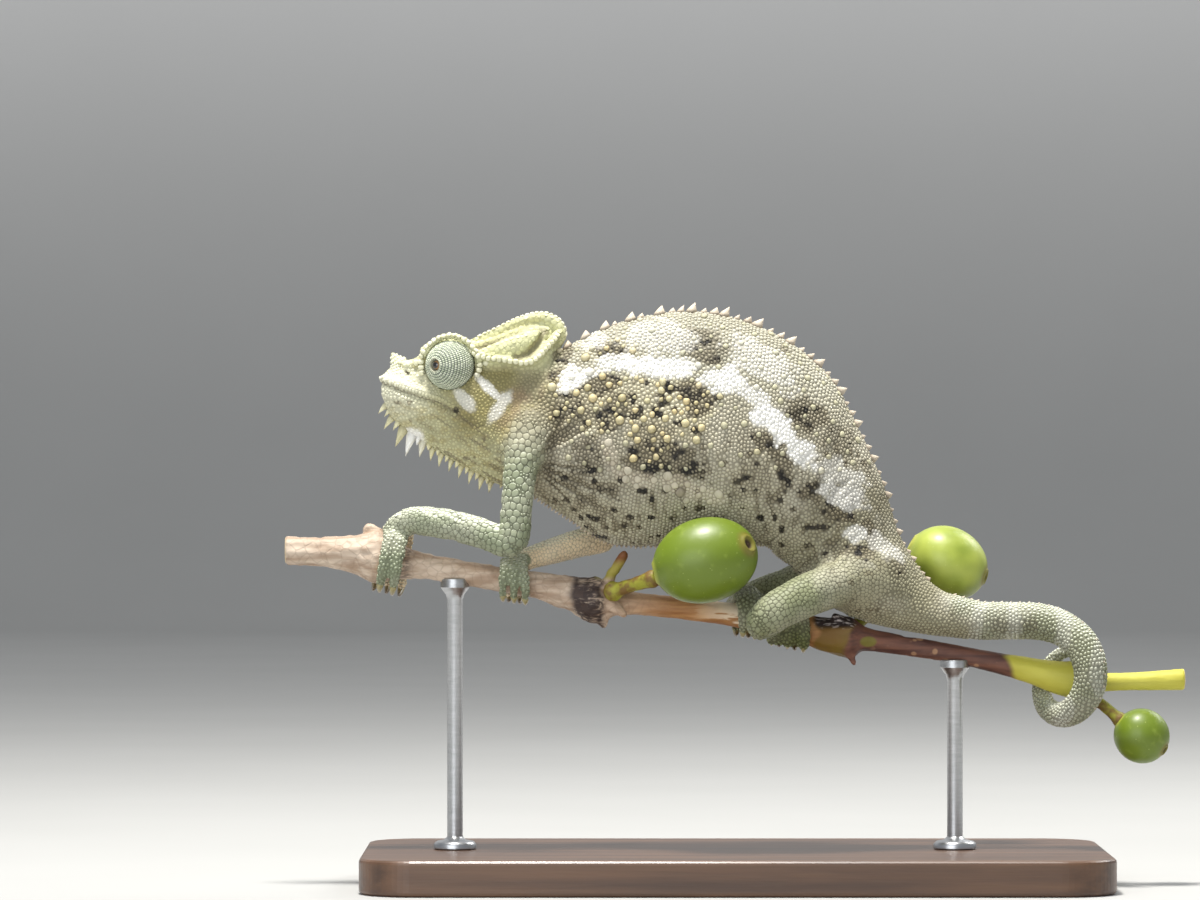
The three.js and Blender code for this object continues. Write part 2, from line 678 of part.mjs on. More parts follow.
// The fused toes of both bundles make one strap over the twig, wider on the side with three toes.
function strap(foot) {
  const { outer, outerToes, pitch, toe } = foot;
  const widths = { [outer]: outerToes, [-outer]: 5 - outerToes };
  const rings = stationsOf(-STRAP_END, STRAP_END, 6).map((angle) => {
    const share = (angle / STRAP_END + 1) / 2;
    const toes = widths[LEFT] + (widths[RIGHT] - widths[LEFT]) * share;
    const centre = new THREE.Vector3(...besideTwig(foot, RIGHT, 0, angle));
    const turn = THREE.MathUtils.degToRad(angle);
    const up = new THREE.Vector3(0, Math.sin(turn), Math.cos(turn));
    const shape = { half: ((toes - 1) * pitch) / 2 + toe * 1.15, above: toe, below: toe * 0.95 };
    const across = new THREE.Vector3(1, 0, 0);
    return ring({ centre, across, up, ...shape, roundAbove: 3, roundBelow: 3 }, 6);
  });
  const poles = [-STRAP_END - 4, STRAP_END + 4].map(
    (angle) => new THREE.Vector3(...besideTwig(foot, RIGHT, 0, angle)),
  );
  return loft(rings, poles[0], poles[1]);
}

// A foot is a wrist, a strap over the twig and two bundles of toes, one down each side.
function footSolids(name, foot, wristStations) {
  const { x, outer, outerToes, pitch, toe, slant } = foot;
  const { y, z, radius } = heldBar(foot);
  const palm = [...wristStations, [x + slant, y, z + radius + toe * 1.7, toe * 1.3]];
  const pieces = [limb(palm, { steps: 3, sides: 7, round: [false, false] }), strap(foot)];
  for (const side of [LEFT, RIGHT]) {
    const count = side === outer ? outerToes : 5 - outerToes;
    for (let i = 0; i < count; i += 1) {
      const spread = (i - (count - 1) / 2) * pitch;
      const path = grip(foot, side, spread, [STRAP_END - 10, TOE_END], [toe * TOE_SHARE, toe * TOE_SHARE], 3);
      pieces.push(limb(path, { steps: 3, sides: 4, round: [false, false] }));
      const claw = grip(foot, side, spread, [TOE_END + CLAW_GAP, CLAW_END], [toe * CLAW_SHARE, CLAW_TIP], 2);
      const which = side === outer ? "outer" : "inner";
      solids[`claw_${name}_${which}_${i + 1}`] = limb(claw, { steps: 2, sides: 4, round: [false, false] });
    }
  }
  return joined(pieces);
}

// The room that a foot leaves for the twig in its grip.
function gripRoom(foot) {
  const { y, z, radius, slope } = heldBar(foot);
  const stations = [-7, 7].map((step) => [foot.x + step, y, z + slope * step, radius + GAP]);
  return limb(stations, { steps: 2, sides: 8, round: [false, false] });
}

// How many stations make half a gap there.
function halfGap(table, station) {
  return (0.6 * GAP) / 2 / stride(table, station, 0.3).length();
}

function limbSolids(names, table, foot, knee) {
  const [upper, lower, end] = names;
  const last = table.length - 1;
  const cuts = [UPPER_STATION, LOWER_STATION];
  const ends = cuts.map((cut) => [cut - halfGap(table, cut), cut + halfGap(table, cut)]);
  const room = joined([fleshRoom, twigRoom]);
  const piece = (from, to, grow, round) => {
    const steps = Math.max(2, Math.round((to - from) * 1.7) + 1);
    return limb(table, { from, to, steps, sides: 8, grow, round });
  };
  const [upperEnd, lowerStart] = knee ? [knee.thighEnd, knee.shinStart] : ends[0];
  const first = (grow) => piece(0, upperEnd, grow, [true, Boolean(knee)]);
  const second = (grow) => piece(lowerStart, ends[1][0], grow, [Boolean(knee), false]);
  const wrist = [between(table, ends[1][1]), between(table, last)];
  solids[upper] = largest(first(0).subtract(room));
  solids[lower] = largest(second(0).subtract(room).subtract(first(GAP * 1.3)));
  solids[end] = largest(footSolids(end, foot, wrist).subtract(gripRoom(foot)).subtract(second(GAP)));
}

limbSolids(["upper_arm_left", "forearm_left", "hand_left"], LEFT_ARM, LEFT_HAND);
limbSolids(["upper_arm_right", "forearm_right", "hand_right"], RIGHT_ARM, RIGHT_HAND);
limbSolids(["thigh_left", "shin_left", "foot_left"], LEFT_LEG, LEFT_FOOT, KNEE);
limbSolids(["thigh_right", "shin_right", "foot_right"], RIGHT_LEG, RIGHT_FOOT, KNEE);

// ---------------------------------------------------------------- coffee cherries
const cherryPlaces = {};
for (const [name, { at, half, tilt, stalk, stalkRadius }] of Object.entries(CHERRIES)) {
  const turn = new THREE.Quaternion().setFromAxisAngle(ACROSS, -THREE.MathUtils.degToRad(tilt));
  const place = new THREE.Matrix4().compose(new THREE.Vector3(...at), turn, new THREE.Vector3(1, 1, 1));
  const fruit = new THREE.SphereGeometry(1, 11, 7).rotateZ(Math.PI / 2).scale(...half);
  cherryPlaces[name] = { fruit, place };
  const larger = half.map((radius) => 1 + GAP / radius);
  const room = fruit.clone().scale(...larger).applyMatrix4(place);
  const stem = limb(stalk.map((p) => [...p, stalkRadius]), { steps: 4, sides: 5, round: [false, false] });
  solids[name.replace("cherry", "stalk")] = largest(stem.subtract(solidOf(room)).subtract(twigRoom));
}
solids.perch_twig = twig;

// ---------------------------------------------------------------- stand
// A turned rod from its hole in the base, through a collar, to the saddle that carries the twig.
function standRod(x) {
  const { y, z, radius } = twigAt(x);
  const top = z - radius * 0.2;
  const seat = z - radius - ROD.saddleDrop;
  const profile = [
    [0, BASE.height - ROD.sunk],
    [ROD.radius, BASE.height - ROD.sunk],
    [ROD.radius, BASE.height + SNUG],
    [ROD.collar, BASE.height + SNUG],
    [ROD.collar, BASE.height + SNUG + ROD.collarHeight * 0.6],
    [ROD.collar - 0.5, BASE.height + SNUG + ROD.collarHeight],
    [ROD.radius, BASE.height + SNUG + ROD.collarHeight],
    [ROD.radius, seat - ROD.saddleFlare],
    [ROD.saddle, seat],
    [ROD.saddle, top],
    [0, top],
  ].map(([r, h]) => new THREE.Vector2(r, h));
  const turned = new THREE.LatheGeometry(profile, 8).rotateX(Math.PI / 2).translate(x, y, 0);
  return solidOf(turned).subtract(twigLoft(SNUG));
}

// A flat slab with rounded corners and a fine bevel, and a blind hole under each rod.
function standBase() {
  const { length, width, height, corner, bevel } = BASE;
  const [x, y, r] = [length / 2 - bevel, width / 2 - bevel, corner - bevel];
  const outline = new THREE.Shape();
  outline.moveTo(-x + r, -y).lineTo(x - r, -y).absarc(x - r, -y + r, r, -Math.PI / 2, 0);
  outline.lineTo(x, y - r).absarc(x - r, y - r, r, 0, Math.PI / 2);
  outline.lineTo(-x + r, y).absarc(-x + r, y - r, r, Math.PI / 2, Math.PI);
  outline.lineTo(-x, -y + r).absarc(-x + r, -y + r, r, Math.PI, (3 * Math.PI) / 2);
  const slab = new THREE.ExtrudeGeometry(outline, {
    depth: height - 2 * bevel,
    bevelSize: bevel,
    bevelThickness: bevel,
    bevelSegments: 1,
    curveSegments: 3,
  }).translate(0, 0, bevel);
  const holes = Object.values(RODS).map((at) =>
    solidOf(
      new THREE.CylinderGeometry(ROD.radius + SNUG, ROD.radius + SNUG, ROD.sunk + 1, 8)
        .rotateX(Math.PI / 2)
        .translate(at, twigAt(at).y, BASE.height - (ROD.sunk + 1) / 2 + 0.6),
    ),
  );
  return solidOf(slab).subtract(joined(holes));
}

for (const [name, x] of Object.entries(RODS)) solids[name] = standRod(x);
solids.stand_base = standBase();

// ---------------------------------------------------------------- finishes and the scene graph
function paint(color, roughness, metalness = 0) {
  return new THREE.MeshStandardMaterial({ color, roughness, metalness });
}

const FINISHES = {
  headSkin: paint(0xd9dca4, 0.75),
  throatSkin: paint(0xbebb88, 0.78),
  bodySkin: paint(0xb9b59c, 0.8),
  limbSkin: paint(0xa6ad8c, 0.8),
  tailSkin: paint(0x9b9d84, 0.8),
  eyeSkin: paint(0xaab298, 0.7),
  eyeball: paint(0x3a2413, 0.15),
  horn: paint(0xdcdcb8, 0.6),
  claw: paint(0x8a7045, 0.45),
  bark: paint(0x9c8266, 0.85),
  cherry: paint(0x6f8a1c, 0.35),
  stalk: paint(0x8b8a2c, 0.6),
  wood: paint(0x3a2417, 0.5),
  steel: paint(0xb7b7b2, 0.35, 1),
};

function finishOf(name) {
  const rules = [
    [/^claw_/, "claw"],
    [/^head$/, "headSkin"],
    [/^lower_jaw$/, "throatSkin"],
    [/^rostral_horn$/, "horn"],
    [/^eye_turret/, "eyeSkin"],
    [/^eyeball/, "eyeball"],
    [/^(neck|trunk)$/, "bodySkin"],
    [/^tail_/, "tailSkin"],
    [/^(upper_arm|forearm|hand|thigh|shin|foot)_/, "limbSkin"],
    [/^perch_twig$/, "bark"],
    [/^stalk_/, "stalk"],
    [/^stand_base$/, "wood"],
    [/^stand_rod/, "steel"],
  ];
  return FINISHES[rules.find(([pattern]) => pattern.test(name))[1]];
}

const animal = new THREE.Group();
const perch = new THREE.Group();
const stand = new THREE.Group();
const model = new THREE.Group();
model.add(animal, perch, stand);

function groupOf(name) {
  if (name.startsWith("stand_")) return stand;
  return /^(perch|stalk)_/.test(name) ? perch : animal;
}

for (const [name, solid] of Object.entries(solids)) {
  const mesh = new THREE.Mesh(geometryOf(solid), finishOf(name));
  mesh.name = name;
  groupOf(name).add(mesh);
}
for (const [name, { fruit, place }] of Object.entries(cherryPlaces)) {
  const mesh = new THREE.Mesh(fruit, FINISHES.cherry);
  mesh.name = name;
  place.decompose(mesh.position, mesh.quaternion, mesh.scale);
  perch.add(mesh);
}

export default model;
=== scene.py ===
"""The dressed chameleon: one scaled skin over its flesh, with eyes, claws, twig, fruit and stand.

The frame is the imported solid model: +X runs from the head to the tail, -Y is the animal's left and
+Z is up. Shapes are worked out in millimetres and turned into metres when a mesh is made.
"""

import logging
import math
from dataclasses import dataclass, field
from enum import Enum, IntEnum
from typing import Callable, Sequence

import bpy
import numpy as np
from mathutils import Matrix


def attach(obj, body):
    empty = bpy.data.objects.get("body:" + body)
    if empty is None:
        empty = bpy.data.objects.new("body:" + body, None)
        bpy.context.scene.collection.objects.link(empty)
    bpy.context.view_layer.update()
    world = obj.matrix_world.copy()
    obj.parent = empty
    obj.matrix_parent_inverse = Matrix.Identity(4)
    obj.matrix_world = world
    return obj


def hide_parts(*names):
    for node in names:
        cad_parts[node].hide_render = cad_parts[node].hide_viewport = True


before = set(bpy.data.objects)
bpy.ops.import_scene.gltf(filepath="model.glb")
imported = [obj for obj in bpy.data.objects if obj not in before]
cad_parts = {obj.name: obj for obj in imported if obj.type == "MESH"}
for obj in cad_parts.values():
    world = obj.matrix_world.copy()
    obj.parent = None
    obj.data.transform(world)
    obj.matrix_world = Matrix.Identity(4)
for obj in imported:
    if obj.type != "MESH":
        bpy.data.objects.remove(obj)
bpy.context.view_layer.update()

import openvdb
from mathutils import Vector
from mathutils.bvhtree import BVHTree
from mathutils.kdtree import KDTree

LOG = logging.getLogger("chameleon")
MM = 0.001
Array = np.ndarray
Rows = Sequence[Sequence[float]]
Point = tuple[float, float, float]

# ------------------------------------------------------------------ the animal's sizes, in mm
# The body, as sections that each lie in one upright fan plane: the back's x and z, the belly's
# x and z, and half the width.
BODY: Rows = (
    (-26.6, 73.8, -33.6, 57.4, 4.9), (-22.6, 76, -29.2, 54.9, 5.7), (-18.6, 78, -23.6, 51.3, 6.9),
    (-13, 79.7, -17.3, 47.6, 8), (-6.3, 80.5, -9.4, 47.3, 8.6), (0.8, 79.3, -1.8, 47.8, 8.6),
    (7.9, 76, 3.6, 47.4, 8), (13.6, 71, 6.8, 45.2, 6.9), (17.3, 64.2, 9.8, 42.5, 5.7),
    (20.8, 56.6, 12.6, 40, 4.9), (23.3, 48.8, 16, 38.1, 4.3), (26.4, 43.7, 21, 36.4, 3.7),
    (30, 40.9, 26.2, 35, 3.1), (34.3, 39.8, 32.6, 34.3, 2.8),
)
# The skull with jaw and throat: x, crown z, throat z, half the width.
SKULL: Rows = (
    (-49.1, 71.8, 67, 1.5), (-48.2, 72.6, 65.3, 2.4), (-46.2, 73.2, 63.6, 3.1), (-44.1, 73.8, 62.1, 3.6),
    (-42, 75, 60.8, 4), (-39.6, 76.4, 59.3, 4.4), (-37, 76, 57.8, 4.8), (-34.5, 75.8, 56.5, 5),
    (-32, 75.8, 55.4, 5.1), (-29.5, 75.6, 55.2, 5.1), (-26, 75, 56.2, 4.8),
)
# The helmet's middle fin: x, top z, half the width at its foot.
CASQUE: Rows = (
    (-36.6, 76.2, 4.3), (-33, 77.5, 4.9), (-30, 78.8, 5), (-27.6, 79.3, 4.2), (-25.6, 78.7, 2.4),
    (-24.7, 77.4, 1.2),
)
# Rounded bands of the head: x, distance from the middle plane, z, radius.
CREST: Rows = (
    (-37.6, 0, 75.9, 0.45), (-35.6, 0, 76.6, 0.6), (-33.2, 0, 77.6, 0.7), (-30.3, 0, 78.85, 0.8),
    (-27.6, 0, 79.5, 0.9), (-25.6, 0, 79, 1), (-24.5, 0, 77.8, 1), (-24.5, 0, 76.3, 0.9), (-25.3, 0, 74.9, 0.7),
)
SIDE_RIM: Rows = (
    (-37.3, 4, 74.8, 0.5), (-35.6, 4.7, 74.1, 0.55), (-33.4, 5, 73.7, 0.6), (-31.2, 5.1, 73.4, 0.6),
    (-29.2, 4.9, 73.1, 0.7), (-28, 4.4, 73.7, 0.75), (-26.9, 3.4, 74.8, 0.75), (-25.7, 2.3, 76.1, 0.75),
    (-24.9, 1.3, 77.2, 0.7),
)
BROW: Rows = (
    (-36, 4.6, 71.3, 0.45), (-35.8, 4.7, 73.4, 0.5), (-36.7, 4.5, 75.2, 0.55), (-38.4, 4.2, 76.45, 0.6),
    (-40.2, 3.95, 76.75, 0.6), (-41.8, 3.7, 76.2, 0.55), (-43.1, 3.4, 75, 0.5), (-43.8, 3.2, 73.4, 0.45),
    (-43.7, 3.2, 71.7, 0.4),
)
CANTHUS: Rows = (
    (-44.4, 2.3, 73, 0.5), (-46, 1.7, 72.9, 0.5), (-47.3, 0.9, 73.2, 0.5),
)
UPPER_LIP: Rows = (
    (-49.3, 0.4, 70.9, 0.55), (-48.4, 1.9, 70.6, 0.6), (-46.6, 2.85, 70.1, 0.6), (-44.1, 3.5, 69.2, 0.6),
    (-41.4, 4, 68.5, 0.55),
)
TEMPLE: Rows = ((-35.2, 3.3, 74.4, 1), (-32.8, 3.1, 74.9, 1.6), (-30.2, 2.6, 75.7, 1.75), (-28, 2, 76.7, 1.35),
                (-26.5, 1.4, 77.6, 0.85))
JAW: Rows = ((-48.9, 1, 68.8, 0.6), (-46.8, 2.5, 68, 0.7), (-44, 3.2, 66.7, 0.8), (-41, 3.6, 65.6, 0.8))
BRIDGE: Rows = ((-46.8, 0, 72.6, 0.9), (-45.4, 0, 72.65, 1), (-44.3, 0, 72.9, 1.1), (-43.2, 0, 73.7, 1.2))
EYE_AT = (-39.8, 3.4, 72.7)
EYE_RADIUS = 3.45
EYE_FORWARD = math.radians(40)
EYE_HOLE = 0.82
NOSTRIL = (-45.8, 71.7)
SHOULDER = (-29.0, 59.0)

# The line of the mouth: x and z.
MOUTH: Rows = (
    (-49.9, 70.3), (-49.2, 70.3), (-46.9, 69.3), (-44.1, 68.3), (-41.3, 67.5), (-39.2, 66.3), (-37.1, 64.7),
    (-36, 64.1), (-35.1, 64.3),
)
# Creases that the skin's folds follow, as x and z: armpit, groin and the hollows of the helmet.
ARMPIT: Rows = ((-24.3, 66), (-25.8, 60), (-26.2, 54.5))
GROIN: Rows = ((11, 49), (15.5, 46.3), (21, 47.5))
HOLLOWS = (
    (((-35.8, 75.6), (-32.5, 77.1), (-29.5, 78.25), (-27.4, 78.5), (-26.3, 77.7)), 0.85),
    (((-26.3, 77.6), (-27.4, 76), (-28.9, 74.4), (-30.6, 73.9)), 0.55),
)
# The tail past its root: x, y, z, radius.
TAIL: Rows = (
    (30, 0, 38, 2.9), (33.75, 0, 37.05, 2.8), (38.5, 0, 37, 2.75), (42.4, -0.6, 36.9, 2.7),
    (45.6, -2.3, 36, 2.6), (48.1, -4.4, 33.9, 2.55), (49.3, -5.4, 30.8, 2.5), (49.1, -5.2, 27.6, 2.4),
    (47.6, -3.9, 25, 2.2), (45.5, -1.4, 23.9, 1.9), (43.7, 1.4, 24.9, 1.65), (43.1, 3.4, 27.6, 1.4),
    (44.2, 3.7, 30.6, 1.2), (46, 2.6, 32.4, 1), (48.1, 0.9, 32.7, 0.8), (49.7, -0.9, 32.2, 0.6),
)
# The coffee twig: x, y, z, radius. The thick stations are its nodes.
TWIG: Rows = (
    (-63, 0.3, 46.9, 2), (-58, 0.2, 46.7, 2.1), (-53.2, 0.1, 46.3, 2.7), (-50.3, 0, 46, 3.6),
    (-47.8, 0, 45.3, 2.7), (-44.5, 0, 44.8, 1.9), (-39.9, 0, 44, 1.7), (-34.3, 0, 43, 1.7),
    (-27.3, 0, 41.9, 1.95), (-22.4, 0, 40.7, 2.5), (-19.3, 0, 39.8, 3.2), (-16.4, 0, 39.6, 1.9),
    (-10.5, 0, 39.1, 1.55), (0, 0, 37.8, 1.65), (7.7, 0, 36.4, 1.85), (12.6, 0, 35.1, 2.4),
    (15.8, 0, 34.7, 2.7), (18.6, 0, 34.4, 1.6), (23.1, 0.1, 33.6, 1.4), (28.7, 0.2, 32.7, 1.35),
    (34.3, 0.3, 31.6, 1.4), (39.9, 0.2, 30.4, 1.7), (44.1, 0, 29.3, 2.2), (47.2, 0, 28.7, 2.55),
    (50.6, 0, 28.4, 1.5), (55.3, 0, 28.5, 1.3), (63, 0.2, 28.8, 1.5),
)


class Region(IntEnum):
    """The stretch of the animal that a place on the skin belongs to."""

    BODY = 0
    HEAD = 1
    TAIL = 2
    LEFT_ARM = 3
    RIGHT_ARM = 4
    LEFT_LEG = 5
    RIGHT_LEG = 6


# ------------------------------------------------------------------ numbers and curves
AHEAD, ACROSS, UP = np.eye(3)


def columns(*parts: Array | float) -> Array:
    """Numbers side by side along a new last axis."""
    return np.stack(np.broadcast_arrays(*parts), -1)


def catmull(table: Rows, stations: Array) -> Array:
    """Rows of a table at stations between its own, on the curve that the solids follow.

    Args:
        table: equally long rows of numbers.
        stations: places along the table, counted in rows.

    Returns:
        One row for each station.
    """
    rows = np.asarray(table, float)
    last = len(rows) - 1
    padded = np.vstack([2 * rows[0] - rows[1], rows, 2 * rows[-1] - rows[-2]])
    at = np.clip(np.asarray(stations, float), 0, last)
    i = np.minimum(at.astype(int), last - 1)
    t = (at - i)[:, None]
    p0, p1, p2, p3 = (padded[i + k] for k in range(4))
    a, d, rise = (p2 - p0) / 2, (p3 - p1) / 2, p2 - p1
    return p1 + t * (a + t * (3 * rise - 2 * a - d + t * (a + d - 2 * rise)))


def along_table(table: Rows, count: int) -> Array:
    """So many rows, evenly counted along a table."""
    return catmull(table, np.linspace(0, len(table) - 1, count))


def unit(vectors: Array) -> Array:
    """Vectors of length one along the last axis."""
    return vectors / np.maximum(np.linalg.norm(vectors, axis=-1, keepdims=True), 1e-12)


def circle(count: int) -> Array:
    """So many even angles round a full turn, in radians."""
    return np.arange(count) * 2 * np.pi / count


def ease(low: float, high: float, value: Array) -> Array:
    """A soft step from 0 at low to 1 at high."""
    t = np.clip((value - low) / (high - low), 0, 1)
    return t * t * (3 - 2 * t)


def bell(value: Array, width: float) -> Array:
    """A soft hill of height 1 over zero."""
    return np.exp(-((value / width) ** 2))


def hashed(cells: Array, seed: int) -> Array:
    """A fixed random number for each whole-number cell.

    Args:
        cells: whole numbers, with the coordinates along the last axis.
        seed: picks one of many patterns.

    Returns:
        One number from 0 to 1 for each cell.
    """
    mixed = np.full(cells.shape[:-1], seed * 2654435761 % 4294967296, np.uint64)
    for axis in range(cells.shape[-1]):
        key = (cells[..., axis].astype(np.int64) + 65536).astype(np.uint64)
        mixed = ((mixed ^ key) * np.uint64(0x9E3779B1)) & np.uint64(0xFFFFFFFF)
        mixed ^= mixed >> np.uint64(15)
    return mixed.astype(float) / 4294967295.0


def noise(points: Array, size: float, seed: int = 0) -> Array:
    """Smooth noise.

    Args:
        points: places in mm.
        size: how far apart the noise's hills are, in mm.
        seed: picks one of many patterns.

    Returns:
        One number from -1 to 1 for each point.
    """
    at = points / size
    base = np.floor(at).astype(int)
    t = at - base
    t = t * t * (3 - 2 * t)
    total = np.zeros(len(points))
    for corner in range(8):
        step = np.array([(corner >> axis) & 1 for axis in range(3)])
        total += np.prod(np.where(step, t, 1 - t), axis=1) * hashed(base + step, seed)
    return total * 2 - 1


# ------------------------------------------------------------------ closed shells
@dataclass
class Shell:
    """A closed surface of triangles."""

    points: Array
    triangles: Array


def ring(centre: Array, across: Array, up: Array, sizes: Sequence[Array], rounds: tuple[float, float],
         sides: int) -> Array:
    """Rings whose upper and lower halves are superellipses of their own height and roundness.

    Args:
        centre: one centre for each ring.
        across: the sideways direction of each ring.
        up: the upward direction of each ring.
        sizes: half the width, the height above and the depth below the centre, for each ring.
        rounds: the exponents of the upper and the lower half; 2 is an ellipse.
        sides: points around a ring.

    Returns:
        Points, by ring and side.
    """
    c, s = np.cos(circle(sides)), np.sin(circle(sides))
    half, above, below = (np.asarray(size, float).reshape(-1, 1) for size in sizes)
    power = np.where(c >= 0, 2 / rounds[0], 2 / rounds[1])
    side = half * np.sign(s) * np.abs(s) ** power
    rise = np.where(c >= 0, above, below) * np.sign(c) * np.abs(c) ** power
    return centre[:, None] + across[:, None] * side[..., None] + up[:, None] * rise[..., None]


def loft(rings: Array, first: Array | None = None, last: Array | None = None) -> Shell:
    """A closed shell over rings of equally many points, with a pole past each end.

    Args:
        rings: points by ring and side.
        first: the pole before the first ring, or its middle.
        last: the pole after the last ring, or its middle.

    Returns:
        The shell, with the two poles as its last points.
    """
    count, sides = rings.shape[:2]
    grid = np.arange(count * sides).reshape(count, sides)
    turned = np.roll(grid, -1, 1)
    a, b, c, d = grid[:-1], turned[:-1], turned[1:], grid[1:]
    walls = [columns(a, b, c).reshape(-1, 3), columns(a, c, d).reshape(-1, 3)]
    caps = [columns(count * sides, turned[0], grid[0]), columns(count * sides + 1, grid[-1], turned[-1])]
    poles = [rings[end].mean(0) if pole is None else pole for end, pole in ((0, first), (-1, last))]
    return Shell(np.vstack([rings.reshape(-1, 3), *poles]), np.vstack(walls + caps))


def frames_along(centres: Array, start_up: Array) -> tuple[Array, Array, Array]:
    """Directions along a line that don't spin about it.

    Args:
        centres: points along the line.
        start_up: roughly the upward direction at the first point.

    Returns:
        The along, across and up directions at each point.
    """
    along = unit(np.gradient(centres, axis=0))
    ups = np.empty_like(centres)
    up = start_up
    for i, way in enumerate(along):
        up = up - way * (up @ way)
        up /= np.linalg.norm(up)
        ups[i] = up
    return along, np.cross(ups, along), ups


def tube(rows: Array, sides: int = 20) -> Shell:
    """A round-ended tube.

    Args:
        rows: x, y, z and radius of each station.
        sides: points around it.

    Returns:
        The closed shell.
    """
    centres, radii = rows[:, :3], rows[:, 3]
    steep = abs(unit(centres[1] - centres[0])[2]) > 0.8
    along, across, up = frames_along(centres, AHEAD if steep else UP)
    last = len(rows) - 1
    index = np.array([0, 0, *range(len(rows)), last, last])
    angles = [math.radians(angle) for angle in (-60, -30, *[0] * len(rows), 30, 60)]
    push, wide = (radii[index] * [wave(angle) for angle in angles] for wave in (math.sin, math.cos))
    middle = centres[index] + along[index] * push[:, None]
    rings = ring(middle, across[index], up[index], (wide,) * 3, (2, 2), sides)
    return loft(rings, centres[0] - along[0] * radii[0], centres[-1] + along[-1] * radii[-1])


def ball(centre: Point, half: Sequence[float], turn: float = 0.0, sides: int = 20) -> Shell:
    """An ellipsoid, turned about the Y axis.

    Args:
        centre: its middle.
        half: its half sizes along its own axes.
        turn: radians that lift its front end.
        sides: points around it.

    Returns:
        The closed shell.
    """
    angles = np.linspace(-np.pi / 2, np.pi / 2, sides // 2 + 1)[1:-1, None]
    rings = columns(np.sin(angles), np.cos(angles) * np.cos(circle(sides)), np.cos(angles) * np.sin(circle(sides)))
    c, s = math.cos(turn), math.sin(turn)
    matrix = np.array([[c, 0, s], [0, 1, 0], [-s, 0, c]])
    parts = ((part * np.asarray(half, float)) @ matrix.T + centre for part in (rings, -AHEAD, AHEAD))
    return loft(*parts)


def on_side(rows: Rows, side: int) -> Array:
    """A table of x, distance from the middle, z and radius, on the left (-1) or the right (1)."""
    return np.array(rows, float) * [1, side, 1, 1]


def spaced(rows: Rows, step: float) -> Array:
    """A table's rows at even steps along its line.

    Args:
        rows: x, y, z and what else goes with them.
        step: the spacing, in mm.

    Returns:
        The rows, with the first and last kept.
    """
    stations = np.linspace(0, len(rows) - 1, 40 * len(rows))
    lengths = np.linalg.norm(np.diff(catmull(rows, stations)[:, :3], axis=0), axis=1)
    run = np.concatenate([[0], np.cumsum(lengths)])
    count = max(2, int(round(run[-1] / step)) + 1)
    return catmull(rows, np.interp(np.linspace(0, run[-1], count), run, stations))


